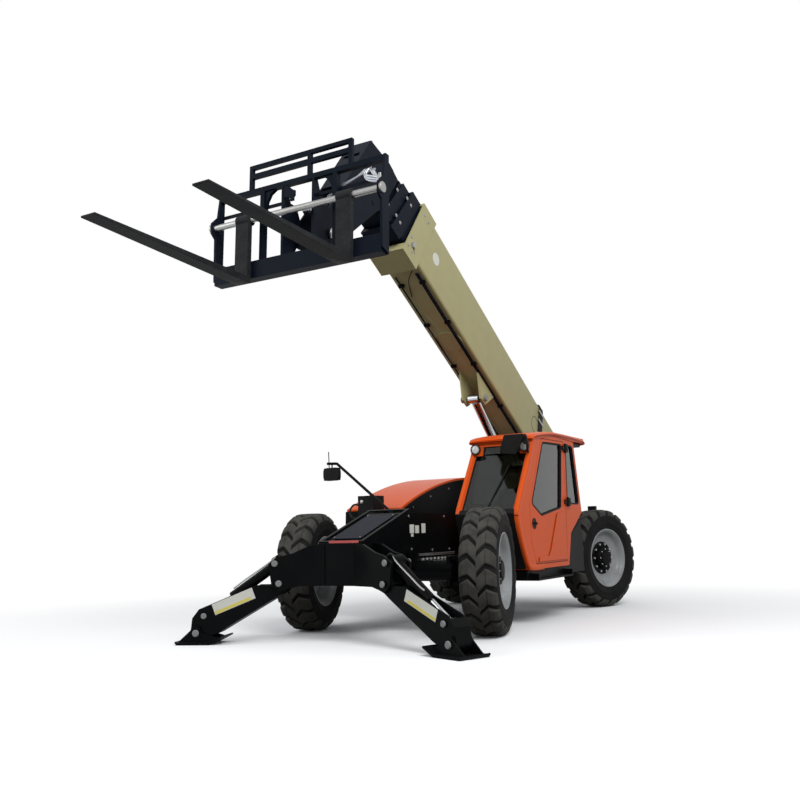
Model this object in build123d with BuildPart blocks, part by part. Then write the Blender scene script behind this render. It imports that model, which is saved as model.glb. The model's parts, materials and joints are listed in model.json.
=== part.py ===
"""Telehandler with a four-section boom, fork carriage and front outriggers.

Millimetres. +X is the machine's left, where the cab stands, -Y is forward and +Z is up.
The origin is on the ground under the centre of the whole machine. Lengthwise stations are
measured rearward from the front axle, and front_axle_y puts that axle in the frame.
"""
import os
from math import atan2, cos, hypot, pi, radians, sin

from build123d import *

os.makedirs("parts", exist_ok=True)

# ---- general fits -------------------------------------------------------------------------
seat_gap = 0.3            # between pieces that rest on or slide in each other
side_gap = 6.0            # beside a moving lug or leg
plate_thick = 25.0        # frame and lug plates

# ---- wheels and axles ---------------------------------------------------------------------
wheelbase = 3595.0
track = 2123.0
tyre_diameter = 1270.0
tyre_width = 370.0
lug_depth = 29.0
lug_pitches = 20          # blocks on each half of the tread, the halves half a pitch apart
lug_share = 0.78          # of a pitch, the rest is groove
rim_diameter = 711.0
rim_flange = 26.0
kingpin_inset = 200.0     # from the wheel's middle plane in to its steering axis
front_steer = 13.64       # front wheels turned to the left
rear_steer = -17.9        # rear wheels turned the other way
axle_tube_radius = 105.0
axle_bowl_radius = 190.0
bowl_neck = 180.0         # where the axle's bowl runs into its tube
kingpin_radius = 42.0
yoke_half_height = 150.0
yoke_plate = 45.0
hub_radius = 150.0

# ---- frame --------------------------------------------------------------------------------
frame_front = -200.0
frame_rear = 4620.0
frame_top = 1238.0
frame_bottom = 790.0
tail_rear = 4950.0        # rear face of the counterweight
tail_half_width = 760.0
tail_bottom = 640.0
tail_top = 1260.0
nose_front = -1050.0
nose_front_top = 947.0
nose_bottom = 545.0

# ---- boom, measured forward and up from the lift pin, in the boom's own direction -----------
lift_pin_station = 4550.0
lift_pin_height = 2050.0
lift_pin_radius = 50.0
boom_angle = 30.4
base_width = 430.0
base_height = 710.0
base_top = 268.0
section_gap = 20.0        # between one section and the next, filled by wear pads
section_wall = 8.0
tilt_pin_reach = 6070.0
tilt_pin_drop = 1415.0
tilt_pin_radius = 35.0
head_plate = 20.0
boom_side_room = 15.0     # on each side of the boom, between the frame's plates
lift_eye_reach = 2450.0
lift_eye_drop = 660.0
lift_lug_x = 125.0          # the barrel passes between the eye's lugs when the boom is down
lift_base_station = 4100.0
lift_base_height = 950.0

# ---- carriage and forks, measured forward and up from the tilt pin ---------------------------
carriage_tilt = 2.3
shaft_reach = 355.0
shaft_rise = 167.0
shaft_radius = 30.0
carriage_half_width = 985.0
fork_length = 1829.0      # 72 inch blades
fork_width = 160.0
fork_thick = 60.0
fork_tip_thick = 18.0
fork_drop = 638.0         # from the shaft's centre to the underside of the blades
fork_right_x = -580.0
fork_left_x = 600.0

# ---- outriggers, measured outward along each leg's own plane, and up --------------------------
splay = 21.0              # the legs point this much forward of sideways
leg_root_x = 610.0
leg_root_station = -1227.0
leg_width = 180.0
leg_wall = 16.0
leg_pin = (-15.0, 574.0)
ram_pin = (25.0, 766.0)
ram_eye = (760.0, 271.0)
pad_pin = (835.0, 108.0)
pad_depth = 340.0
pad_thick = 25.0

# ---- cab ----------------------------------------------------------------------------------
cab_inner_x = 420.0
cab_outer_x = 1160.0
cab_wall = 45.0
cab_bottom = 600.0
floor_height = cab_bottom + cab_wall
glass_thick = 8.0
door_gap = 6.0
door_rear = 2080.0
hinge_x = cab_outer_x + 20
hinge_station = 2137.0
hinge_heights = (1350.0, 2000.0)

# ---- engine side ----------------------------------------------------------------------------
pod_outer_x = -1200.0
pod_inner_x = -440.0
pod_front = 840.0
rear_wheel_room = 110.0   # from the pod's rear wall to the rear tyre, wheels ahead
pod_bottom = 560.0
pod_top = 1300.0
pod_wall = 30.0
hood_wall = 14.0

# ---- what follows from those sizes -----------------------------------------------------------------
pod_rear = wheelbase - tyre_diameter / 2 - rear_wheel_room
tank_rear = pod_rear - 70
frame_half_width = base_width / 2 + boom_side_room + plate_thick
step_in = section_gap + section_wall
head_half_width = base_width / 2 - 3 * step_in + head_plate - 1

# ---- where the front axle lies: half way between the fork tips and the tail ----------------------
boom_rise = radians(boom_angle)
fork_rise = radians(carriage_tilt)
tilt_pin_station = (lift_pin_station - tilt_pin_reach * cos(boom_rise)
                    - tilt_pin_drop * sin(boom_rise))
tilt_pin_height = (lift_pin_height + tilt_pin_reach * sin(boom_rise)
                   - tilt_pin_drop * cos(boom_rise))
shank_front = shaft_reach + fork_thick - 15.0
tip_reach = shank_front + fork_length
tip_drop = fork_drop - shaft_rise - (fork_thick - fork_tip_thick)
tip_station = tilt_pin_station - tip_reach * cos(fork_rise) - tip_drop * sin(fork_rise)
front_axle_y = -(tip_station + tail_rear) / 2

# ---- working planes ---------------------------------------------------------------------------
side_view = Plane(origin=(0, front_axle_y, 0), x_dir=(0, 1, 0), z_dir=(1, 0, 0))
plan_view = Plane(origin=(0, front_axle_y, 0))
boom_view = Plane(origin=(0, front_axle_y + lift_pin_station, lift_pin_height),
                  x_dir=(0, -cos(boom_rise), sin(boom_rise)), z_dir=(-1, 0, 0))
carriage_view = Plane(origin=(0, front_axle_y + tilt_pin_station, tilt_pin_height),
                      x_dir=(0, -cos(fork_rise), sin(fork_rise)), z_dir=(-1, 0, 0))
leg_middle = leg_width / 2 + side_gap + plate_thick
leg_view = Plane(
    origin=(leg_root_x + leg_middle * sin(radians(splay)),
            front_axle_y + leg_root_station + leg_middle * cos(radians(splay)), 0),
    x_dir=(cos(radians(splay)), -sin(radians(splay)), 0),
    z_dir=(-sin(radians(splay)), -cos(radians(splay)), 0))


def save(piece, name):
    """Label a finished piece and write it."""
    piece.label = name
    export_step(piece, f"parts/{name}.step")


def plate(view, outline, thickness, mode=Mode.ADD, centred=False):
    """A plate of this outline, from the view's plane along its normal or centred on it."""
    with BuildSketch(view) as face:
        with BuildLine():
            Polyline(*outline, close=True)
        make_face()
    extrude(face.sketch, amount=thickness / 2 if centred else thickness, both=centred, mode=mode)


def disc(view, centre, radius, thickness, mode=Mode.ADD, centred=True):
    """A round boss, pin or hole at a point of the view."""
    with BuildSketch(view) as face:
        with Locations(centre):
            Circle(radius)
    extrude(face.sketch, amount=thickness / 2 if centred else thickness, both=centred, mode=mode)


def box(low, high, mode=Mode.ADD):
    """A block between two corners, whose second number is a station from the front axle."""
    size = [b - a for a, b in zip(low, high)]
    middle = [(a + b) / 2 for a, b in zip(low, high)]
    with Locations((middle[0], front_axle_y + middle[1], middle[2])):
        Box(*size, mode=mode)


def mirrored(piece, side):
    """The piece itself on the left, and its mirror image on the right."""
    return piece if side > 0 else piece.mirror(Plane.YZ)


def cylinder_view(start, end, view):
    """A plane of the view turned so that its x runs from start to end."""
    turn = atan2(end[1] - start[1], end[0] - start[0])
    along = view.x_dir * cos(turn) + view.y_dir * sin(turn)
    return Plane(origin=view.from_local_coords((start[0], start[1], 0)), x_dir=along, z_dir=view.z_dir)


def cylinder_pair(view, length, barrel_end, barrel_radius, rod_radius, eye_width, base_pin, rod_back,
                  eye_radius, rod_pin):
    """A barrel with its base eye and bore, and a rod with its piston end and rod eye."""
    axis = Axis(view.origin, view.x_dir)
    with BuildPart() as barrel:
        with BuildSketch(view) as wall:
            with BuildLine():
                Polyline((base_pin + 20, 0), (base_pin + 20, barrel_radius), (barrel_end, barrel_radius),
                         (barrel_end, rod_radius + seat_gap), (base_pin + 60, rod_radius + seat_gap),
                         (base_pin + 60, 0), close=True)
            make_face()
        revolve(wall.sketch, axis=axis)
        disc(view, (0, 0), base_pin + 40, eye_width)
        disc(view, (0, 0), base_pin + seat_gap, eye_width + 10, mode=Mode.SUBTRACT)
    with BuildPart() as rod:
        with BuildSketch(view) as bar:
            with BuildLine():
                Polyline((rod_back, 0), (rod_back, rod_radius), (length - rod_pin - 10, rod_radius),
                         (length - rod_pin - 10, 0), close=True)
            make_face()
        revolve(bar.sketch, axis=axis)
        disc(view, (length, 0), eye_radius, eye_width)
        disc(view, (length, 0), rod_pin, eye_width + 10, mode=Mode.SUBTRACT)
    return barrel.part, rod.part


# ---- wheels: rim, tyre and the knuckle that steers them ------------------------------------------
rim_radius = rim_diameter / 2
tyre_radius = tyre_diameter / 2
half_tread = tyre_width / 2
rim_half_width = half_tread - 35.0
disc_x = 60.0             # the wheel disc stands outward of the middle plane
hub_back = 20.0           # inner face of the hub, which runs on the knuckle's spindle

shoulder = [(half_tread, rim_radius + 130), (half_tread - 4, tyre_radius - 80),
            (half_tread - 25, tyre_radius - 22), (half_tread - 65, tyre_radius)]   # up the tyre's left side
right_shoulder = [(-x, r) for x, r in reversed(shoulder)]
lug_pitch = 2 * pi * tyre_radius / lug_pitches
groove_half = lug_pitch * (1 - lug_share) / 2
groove_run = ((0, 0), (0.30 * lug_pitch, 0.5 * half_tread), (0.08 * lug_pitch, half_tread + 10))
groove_floor = [(-15, tyre_radius + 10), (-15, tyre_radius - lug_depth), (half_tread - 75, tyre_radius - lug_depth),
                (half_tread - 35, tyre_radius - 22 - lug_depth), (half_tread + 10, tyre_radius - 110),
                (half_tread + 10, tyre_radius + 10)]

with BuildPart() as groove:
    # a slanted channel seen from outside the tyre, kept above the groove's floor; local x is outward
    with BuildSketch(Plane.YZ.offset(tyre_radius - 120)):
        Polygon(*[(t - groove_half, a) for t, a in groove_run],
                *[(t + groove_half, a) for t, a in reversed(groove_run)], align=None)
    extrude(amount=140)
    with BuildSketch(Plane.ZX):
        Polygon(*groove_floor, align=None)
    extrude(amount=lug_pitch, both=True, mode=Mode.INTERSECT)

with BuildPart(Plane.YZ) as tyre:
    with BuildSketch(Plane.XY) as tyre_profile:
        with BuildLine():
            Polyline((-rim_half_width + 20, rim_radius), (rim_half_width - 20, rim_radius),
                     (rim_half_width, rim_radius + 30), *shoulder, *right_shoulder,
                     (-rim_half_width, rim_radius + 30), close=True)
        make_face()
    revolve(axis=Axis.X)
    with PolarLocations(0, lug_pitches):
        add(groove.part, mode=Mode.SUBTRACT)
    with PolarLocations(0, lug_pitches, start_angle=180 / lug_pitches):
        add(groove.part.mirror(Plane.XY), mode=Mode.SUBTRACT)

with BuildPart() as rim:
    with BuildSketch(Plane.XY) as rim_profile:
        with BuildLine():
            Polyline((-rim_half_width - 12, rim_radius + rim_flange), (-rim_half_width, rim_radius + rim_flange),
                     (-rim_half_width + 19, rim_radius - seat_gap), (rim_half_width - 19, rim_radius - seat_gap),
                     (rim_half_width, rim_radius + rim_flange), (rim_half_width + 12, rim_radius + rim_flange),
                     (rim_half_width + 12, rim_radius - 14), (disc_x + 60, rim_radius - 30),
                     (disc_x + 30, hub_radius + 60), (disc_x + 28, hub_radius), (150, hub_radius - 10),
                     (150, 0), (hub_back, 0), (hub_back, hub_radius - 10), (disc_x, hub_radius),
                     (disc_x, hub_radius + 55), (disc_x + 20, rim_radius - 55),
                     (-rim_half_width - 12, rim_radius - 16), close=True)
        make_face()
    revolve(axis=Axis.X)

with BuildPart() as knuckle:
    # the spindle reaches into the hub, the barrel turns on the kingpin between the yoke's arms
    with Locations(Location(((hub_back - seat_gap - kingpin_inset) / 2, 0, 0), (0, 90, 0))):
        Cylinder(hub_radius - 60, kingpin_inset + hub_back - seat_gap)
    with Locations((-kingpin_inset, 0, 0)):
        Cylinder(kingpin_radius + 45, 2 * (yoke_half_height - yoke_plate))
        Cylinder(kingpin_radius, 2 * yoke_half_height)

wheels = (  # name, side, station, steer angle
    ("front_left", 1, 0.0, front_steer),
    ("front_right", -1, 0.0, front_steer),
    ("rear_left", 1, wheelbase, rear_steer),
    ("rear_right", -1, wheelbase, rear_steer),
)
kingpin_x = track / 2 - kingpin_inset
for name, side, station, steer in wheels:
    turn = steer if side > 0 else steer + 180
    kingpin = Location((side * kingpin_x, front_axle_y + station, tyre_radius), (0, 0, turn))
    centre = kingpin * Location((kingpin_inset, 0, 0))
    for kind, blank in (("tyre", tyre), ("rim", rim), ("knuckle", knuckle)):
        save(blank.part.moved(centre), f"{kind}_{name}")

# ---- axles --------------------------------------------------------------------------------------
tube_end = kingpin_x - kingpin_radius - 130   # where the yoke's root plate stands
saddle_half = 65.0
for name, station in (("front_axle", 0.0), ("rear_axle", wheelbase)):
    axle_line = Plane(origin=(0, front_axle_y + station, tyre_radius), x_dir=(1, 0, 0), z_dir=(0, -1, 0))
    with BuildPart() as axle:
        with BuildSketch(axle_line) as housing:
            with BuildLine():
                Polyline((-bowl_neck, axle_tube_radius), (-tube_end - 20, axle_tube_radius), (-tube_end - 20, 0),
                         (tube_end + 20, 0), (tube_end + 20, axle_tube_radius), (bowl_neck, axle_tube_radius))
                ThreePointArc((-bowl_neck, axle_tube_radius), (0, axle_bowl_radius),
                              (bowl_neck, axle_tube_radius))
            make_face()
        revolve(housing.sketch, axis=Axis(axle_line.origin, (1, 0, 0)))
        for side in (1, -1):
            arm = yoke_plate - 2 * seat_gap
            for up in (1, -1):
                low_z = tyre_radius + up * (yoke_half_height - yoke_plate / 2) - arm / 2
                box_x = sorted((side * tube_end, side * (kingpin_x + 60)))
                box((box_x[0], station - 60, low_z), (box_x[1], station + 60, low_z + arm))
            box_x = sorted((side * (tube_end - 40), side * tube_end))
            box((box_x[0], station - 90, tyre_radius - yoke_half_height),
                (box_x[1], station + 90, tyre_radius + yoke_half_height))
            saddle_x = side * (frame_half_width - plate_thick / 2)
            box((saddle_x - saddle_half, station - 120, tyre_radius + 40),
                (saddle_x + saddle_half, station + 120, frame_bottom - seat_gap))
        with Locations(*[(side * kingpin_x, front_axle_y + station, tyre_radius) for side in (1, -1)]):
            Cylinder(kingpin_radius + seat_gap, 2 * yoke_half_height + 60, mode=Mode.SUBTRACT)
    save(axle.part, name)

# ---- frame: two side plates, cross members and the boom's pivot tower ------------------------------
frame_inner = frame_half_width - plate_thick
frame_outline = [
    (frame_front, frame_top), (2950, frame_top), (3650, 1700), (4300, lift_pin_height + 170),
    (4700, lift_pin_height + 150), (4800, lift_pin_height - 150), (frame_rear + 60, 1500),
    (frame_rear, frame_bottom), (0, frame_bottom), (frame_front, 830)]
with BuildPart() as frame:
    for x in (frame_inner, -frame_half_width):
        plate(side_view.offset(x), frame_outline, plate_thick)
    lift_pin = (lift_pin_station, lift_pin_height)
    disc(side_view, lift_pin, 130, 2 * frame_half_width + 60)
    disc(side_view, lift_pin, 160, 2 * frame_inner, mode=Mode.SUBTRACT)
    disc(side_view, lift_pin, lift_pin_radius, 2 * frame_half_width + 90)
    # belly plate, rear plate and cross tubes between the side plates
    box((-frame_inner, 400, frame_bottom), (frame_inner, 3300, frame_bottom + 20))
    box((-frame_inner, frame_rear - 60, frame_bottom + 60), (frame_inner, frame_rear - 35, 1500))
    box((-frame_inner, frame_front, frame_top - 120), (frame_inner, 900, frame_top - 95))
    box((-frame_inner, frame_front, 860), (frame_inner, frame_front + 25, frame_top - 95))
    for cross_y, cross_z in ((1500, 1000), (2300, 950)):
        disc(side_view, (cross_y, cross_z), 60, 2 * frame_inner)
    # the lift cylinder's base pin
    lift_base = (lift_base_station, lift_base_height)
    disc(side_view, lift_base, 45, 2 * frame_half_width + 40)
save(frame.part, "frame")

# ---- nose and outrigger lugs ---------------------------------------------------------------------
nose_outline = [
    (nose_front, nose_bottom), (nose_front, nose_front_top), (frame_front - seat_gap, frame_top),
    (frame_front - seat_gap, 830), (-700, nose_bottom)]
lug_outline = [(-470, 545), (-470, 935), (-330, 935), (-150, 860), (-30, 835), (95, 766),
               (85, 700), (65, 560), (-15, 495), (-90, 520), (-200, 545)]
with BuildPart() as nose:
    plate(side_view, nose_outline, 2 * frame_half_width, centred=True)
    inner = [(nose_front + plate_thick, nose_bottom - 10), (nose_front + plate_thick, nose_front_top - 20),
             (frame_front - 40, frame_top - 40), (frame_front - 40, 830), (-715, nose_bottom - 10)]
    plate(side_view, inner, 2 * frame_inner, centred=True, mode=Mode.SUBTRACT)
    # the deck lies a little below its raised border
    deck_border = 35
    deck_rise = (frame_top - nose_front_top) / (frame_front - nose_front)
    deck = [(station, nose_front_top + deck_rise * (station - nose_front) + rise)
            for station, rise in ((nose_front + deck_border, -10), (frame_front - deck_border, -10),
                                  (frame_front - deck_border, 10), (nose_front + deck_border, 10))]
    plate(side_view, deck, 2 * (frame_half_width - deck_border), centred=True, mode=Mode.SUBTRACT)
    lug_centre = leg_width / 2 + side_gap + plate_thick / 2
    for shift in (lug_centre, -lug_centre):
        plate(leg_view.offset(shift), lug_outline, plate_thick, centred=True)
    disc(leg_view, leg_pin, 30, 2 * leg_middle + 30)
    disc(leg_view, ram_pin, 30, 2 * leg_middle + 30)
    split(bisect_by=Plane.YZ, keep=Keep.TOP)
    mirror(about=Plane.YZ)
save(nose.part, "outrigger_frame")

# ---- outriggers ------------------------------------------------------------------------------------
leg_outline = [(-80, 520), (50, 560), (235, 560), (816, 336), (885, 250), (900, 130), (850, 45),
               (790, 40), (614, 110), (15, 447), (-70, 500)]
leg_channel = [(-130, 760), (-130, 470), (30, 467), (600, 140), (700, 190), (830, 190), (830, 760)]
with BuildPart() as leg:
    plate(leg_view, leg_outline, leg_width, centred=True)
    disc(leg_view, leg_pin, 85, leg_width)
    disc(leg_view, pad_pin, 70, leg_width)
    plate(leg_view, leg_channel, leg_width - 2 * leg_wall, centred=True, mode=Mode.SUBTRACT)
    disc(leg_view, leg_pin, 30 + seat_gap, leg_width + 10, mode=Mode.SUBTRACT)
    disc(leg_view, pad_pin, 25 + seat_gap, leg_width + 10, mode=Mode.SUBTRACT)
    for face in (leg_width / 2 + 5, -leg_width / 2 - 5):
        disc(leg_view.offset(face), ram_eye, 28, 10)

cheek_outline = [(590, 60), (780, 110), (800, 170), (860, 175), (900, 130), (1020, pad_thick), (690, pad_thick)]
pad_outline = [(690, 0), (1015, 0), (1035, 25), (1028, 35), (1010, pad_thick), (695, pad_thick),
               (560, 85), (552, 70)]
cheek_centre = leg_width / 2 + side_gap + leg_wall / 2
with BuildPart() as pad:
    plate(leg_view, pad_outline, pad_depth, centred=True)
    for shift in (cheek_centre, -cheek_centre):
        plate(leg_view.offset(shift), cheek_outline, leg_wall, centred=True)
    disc(leg_view, pad_pin, 25, 2 * (cheek_centre + leg_wall / 2 + 6))

ram_view = cylinder_view(ram_pin, ram_eye, leg_view)
ram_length = hypot(ram_eye[0] - ram_pin[0], ram_eye[1] - ram_pin[1])
ram_barrel, ram_rod = cylinder_pair(ram_view, ram_length, 570, 50, 26, 110, 30, 310, 42, 25)

for side_name, side in (("left", 1), ("right", -1)):
    for kind, piece in (("outrigger_leg", leg.part), ("outrigger_pad", pad.part),
                        ("outrigger_barrel", ram_barrel), ("outrigger_rod", ram_rod)):
        save(mirrored(piece, side), f"{kind}_{side_name}")

# ---- boom: nested tubes with slanted collars ----------------------------------------------------------
base_middle = base_top - base_height / 2
sections = (  # name, inset on every side, rear end, front end, collar foot, collar head
    ("boom_base", 0, -300, 4800, 4690, 4580),
    ("boom_section_2", 1, 250, 5150, 5090, 4930),
    ("boom_section_3", 2, 400, 5360, 5300, 5150),
    ("boom_head", 3, 550, 5480, None, None),
)


def box_tube(width, height, start, end, wall):
    """A hollow rectangular boom section with rounded corners, from start to end along the boom."""
    cross = Plane(origin=boom_view.from_local_coords((start, base_middle, 0)),
                  x_dir=(1, 0, 0), z_dir=boom_view.x_dir)
    with BuildSketch(cross) as ring:
        RectangleRounded(width, height, 30)
        RectangleRounded(width - 2 * wall, height - 2 * wall, 30 - wall, mode=Mode.SUBTRACT)
    extrude(ring.sketch, amount=end - start)


def wear_pads(width, height, start, length, reach):
    """Four flat slide pads standing out from a tube's faces, inward when the reach is negative."""
    cross = Plane(origin=boom_view.from_local_coords((start, base_middle, 0)),
                  x_dir=(1, 0, 0), z_dir=boom_view.x_dir)
    with BuildSketch(cross) as pads:
        with Locations((0, (height + reach) / 2), (0, -(height + reach) / 2)):
            Rectangle(width * 0.7, abs(reach))
        with Locations(((width + reach) / 2, 0), (-(width + reach) / 2, 0)):
            Rectangle(abs(reach), height * 0.5)
    extrude(pads.sketch, amount=length)


def mouth_pads(width, height, front):
    """Pads inside a section's mouth, on which the next section slides."""
    wear_pads(width - 2 * section_wall, height - 2 * section_wall, front - 160, 140,
              -(section_gap - seat_gap))


def tail_pads(width, height, rear):
    """Pads outside a section's rear end, which slide in the section around it."""
    wear_pads(width, height, rear + 20, 140, section_gap - seat_gap)


def collar(width, height, foot, head, length, rise, drop, thick):
    """Slanted side flanges and a crosspiece above and below at a section's mouth."""
    top = base_middle + height / 2
    bottom = base_middle - height / 2
    outline = [(foot, bottom - drop), (foot + length, bottom - drop), (head + length, top + rise),
               (head, top + rise)]
    plate(boom_view, outline, width + 2 * thick, centred=True)
    mouth = [(foot - 100, bottom), (foot + length + 100, bottom), (head + length + 100, top),
             (head - 100, top)]
    plate(boom_view, mouth, width, centred=True, mode=Mode.SUBTRACT)


with BuildPart() as boom_base:
    collar(base_width, base_height, 4690, 4580, 330, 40, 110, 12)
    box_tube(base_width, base_height, -300, 4800, section_wall)
    mouth_pads(base_width, base_height, 4800)
    disc(boom_view, (0, 0), 140, base_width)
    disc(boom_view, (0, 0), lift_pin_radius + seat_gap, base_width + 10, mode=Mode.SUBTRACT)
    bottom = base_middle - base_height / 2
    with BuildSketch(Plane(origin=boom_view.from_local_coords((3350, bottom, 0)), x_dir=(1, 0, 0),
                           z_dir=-boom_view.y_dir)):
        Circle(175)
    extrude(amount=12)
    lift_eye = (lift_eye_reach, -lift_eye_drop)
    clevis = [(lift_eye_reach - 260, bottom + 2), (lift_eye_reach + 330, bottom + 2),
              (lift_eye_reach + 250, bottom - 60), (lift_eye_reach + 70, -lift_eye_drop - 60),
              (lift_eye_reach - 70, -lift_eye_drop - 60)]
    for x in (lift_lug_x, -lift_lug_x):
        plate(boom_view.offset(x), clevis, 25, centred=True)
        disc(boom_view.offset(x * 1.1), lift_eye, 45, 40)
save(boom_base.part, "boom_base")

flanges = {"boom_section_2": (200, 30, 60, 10), "boom_section_3": (150, 15, 25, 10)}
for name, inset, rear, front, foot, head in sections[1:3]:
    width = base_width - 2 * inset * step_in
    height = base_height - 2 * inset * step_in
    with BuildPart() as section:
        length, rise, drop, thick = flanges[name]
        collar(width, height, foot, head, length, rise, drop, thick)
        box_tube(width, height, rear, front, section_wall)
        mouth_pads(width, height, front)
        tail_pads(width, height, rear)
    save(section.part, name)

head_outline = [(5375, 190), (5600, 215), (5990, 130), (6210, -1330), (6160, -1500), (6000, -1530),
                (5920, -1440), (5700, -900), (5560, -560), (5480, -400)]
tilt_pin = (tilt_pin_reach, -tilt_pin_drop)
tilt_ram_base = (5620.0, -450.0)
with BuildPart() as boom_head:
    width = base_width - 6 * step_in
    height = base_height - 6 * step_in
    box_tube(width, height, 550, 5480, section_wall)
    tail_pads(width, height, 550)
    for x in (head_half_width - head_plate / 2, -head_half_width + head_plate / 2):
        plate(boom_view.offset(x), head_outline, head_plate, centred=True)
    front_plate = [(5960, 150), (5995, 130), (6115, -700), (6090, -700)]
    plate(boom_view, front_plate, 2 * head_half_width, centred=True)
    for slot_top in (-90, -330):
        slot = [(5930, slot_top), (6140, slot_top), (6140, slot_top - 60), (5930, slot_top - 60)]
        plate(boom_view, slot, 2 * (head_half_width - head_plate) - 60, centred=True, mode=Mode.SUBTRACT)
    top_plate = [(5500, 195), (5600, 195), (5990, 110), (5990, 132), (5600, 216), (5500, 210)]
    plate(boom_view, top_plate, 2 * head_half_width, centred=True)
    disc(boom_view, tilt_pin, tilt_pin_radius, 2 * head_half_width + 110)
    disc(boom_view, tilt_ram_base, 30, 2 * head_half_width + 10)
save(boom_head.part, "boom_head")

# ---- lift cylinder -----------------------------------------------------------------------------------
lift_base_local = boom_view.to_local_coords(
    Vector(0, front_axle_y + lift_base_station, lift_base_height))
lift_view = cylinder_view((lift_base_local.X, lift_base_local.Y), (lift_eye_reach, -lift_eye_drop),
                          boom_view)
lift_length = hypot(lift_eye_reach - lift_base_local.X, -lift_eye_drop - lift_base_local.Y)


lift_barrel, lift_rod = cylinder_pair(lift_view, lift_length, 1820, 95, 62, 140, 45, 850, 60, 30)
save(lift_barrel, "lift_barrel")
save(lift_rod, "lift_rod")

tilt_eye = (95.0, 265.0)
tilt_eye_world = carriage_view.from_local_coords((tilt_eye[0], tilt_eye[1], 0))
tilt_eye_boom = boom_view.to_local_coords(tilt_eye_world)
tilt_view = cylinder_view(tilt_ram_base, (tilt_eye_boom.X, tilt_eye_boom.Y), boom_view)
tilt_length = hypot(tilt_eye_boom.X - tilt_ram_base[0], tilt_eye_boom.Y - tilt_ram_base[1])
tilt_barrel, tilt_rod = cylinder_pair(tilt_view, tilt_length, 700, 62, 38, 100, 30, 560, 50, 25)
save(tilt_barrel, "tilt_barrel")
save(tilt_rod, "tilt_rod")

# ---- carriage ------------------------------------------------------------------------------------------
rail_back = 225.0
rail_front = shaft_reach - 15.0 - seat_gap
side_outline = [(rail_back, 525), (rail_back + 60, 525), (rail_back + 90, 300), (shaft_reach + 45, 215),
                (shaft_reach + 45, 110), (rail_back + 120, 60), (rail_back + 110, -380), (rail_back, -420),
                (rail_back, 60)]
bars = (  # name of the bar, low reach, high reach, low rise, high rise
    ("top rail", rail_back, rail_back + 60, 470, 520),
    ("upper back bar", rail_back, rail_back + 20, 300, 330),
    ("bottom angle", rail_back + 60, rail_front, -400, -250),
    ("bottom shelf", rail_back, rail_front, -425, -400),
)
backrest_half = 590.0
backrest_top = 780.0
with BuildPart() as carriage:
    for x in (carriage_half_width - 12, -carriage_half_width + 12):
        plate(carriage_view.offset(x), side_outline, 24, centred=True)
    for _, low_f, high_f, low_g, high_g in bars:
        plate(carriage_view, [(low_f, low_g), (high_f, low_g), (high_f, high_g), (low_f, high_g)],
              2 * (carriage_half_width - 20), centred=True)
    # the tilt cylinder's eye swings through the middle of the upper back bar
    plate(carriage_view, [(rail_back - 5, 290), (rail_back + 25, 290), (rail_back + 25, 340), (rail_back - 5, 340)],
          2 * (head_half_width + 15), centred=True, mode=Mode.SUBTRACT)
    # posts from the bottom angle to the top rail, and the two plates that hang on the tilt pin
    for post_x in (-430, 430):
        plate(carriage_view.offset(-post_x),
              [(rail_back, -410), (rail_back + 60, -410), (rail_back + 60, 480), (rail_back, 480)],
              50, centred=True)
    for post_x in (head_half_width + 30, -head_half_width - 30):
        plate(carriage_view.offset(-post_x),
              [(-60, -60), (60, -90), (rail_back, -410), (rail_back + 60, -410), (rail_back + 60, 480),
               (rail_back, 480), (rail_back - 60, 330), (120, 330), (60, 300), (-60, 60)],
              25, centred=True)
        disc(carriage_view.offset(-post_x), (0, 0), 85, 25)
        disc(carriage_view.offset(-post_x), (0, 0), tilt_pin_radius + seat_gap, 40, mode=Mode.SUBTRACT)
    for bar_x in (backrest_half, -backrest_half, 120):
        plate(carriage_view.offset(-bar_x),
              [(rail_back + 5, 510), (rail_back + 45, 510), (rail_back + 45, backrest_top), (rail_back + 5, backrest_top)],
              40, centred=True)
    for low, high in ((backrest_top - 40, backrest_top), (640, 690)):
        plate(carriage_view, [(rail_back + 5, low), (rail_back + 45, low), (rail_back + 45, high), (rail_back + 5, high)],
              2 * backrest_half, centred=True)
    disc(carriage_view, (shaft_reach, shaft_rise), shaft_radius, 2 * carriage_half_width + 40)
save(carriage.part, "carriage")

fork_bottom = shaft_rise - fork_drop
shank_back = shank_front - fork_thick
for name, x in (("fork_left", fork_left_x), ("fork_right", fork_right_x)):
    with BuildPart() as fork:
        fork_outline = [
            (shank_back, fork_bottom), (shank_front + 200, fork_bottom),
            (tip_reach, fork_bottom + fork_thick - fork_tip_thick), (tip_reach, fork_bottom + fork_thick),
            (shank_front, fork_bottom + fork_thick), (shank_front, shaft_rise), (shank_back, shaft_rise)]
        plate(carriage_view.offset(-x), fork_outline, fork_width, centred=True)
        disc(carriage_view.offset(-x), (shaft_reach, shaft_rise), shaft_radius + 28, fork_width)
        disc(carriage_view.offset(-x), (shaft_reach, shaft_rise), shaft_radius + seat_gap, fork_width + 10,
             mode=Mode.SUBTRACT)
    save(fork.part, name)

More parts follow.
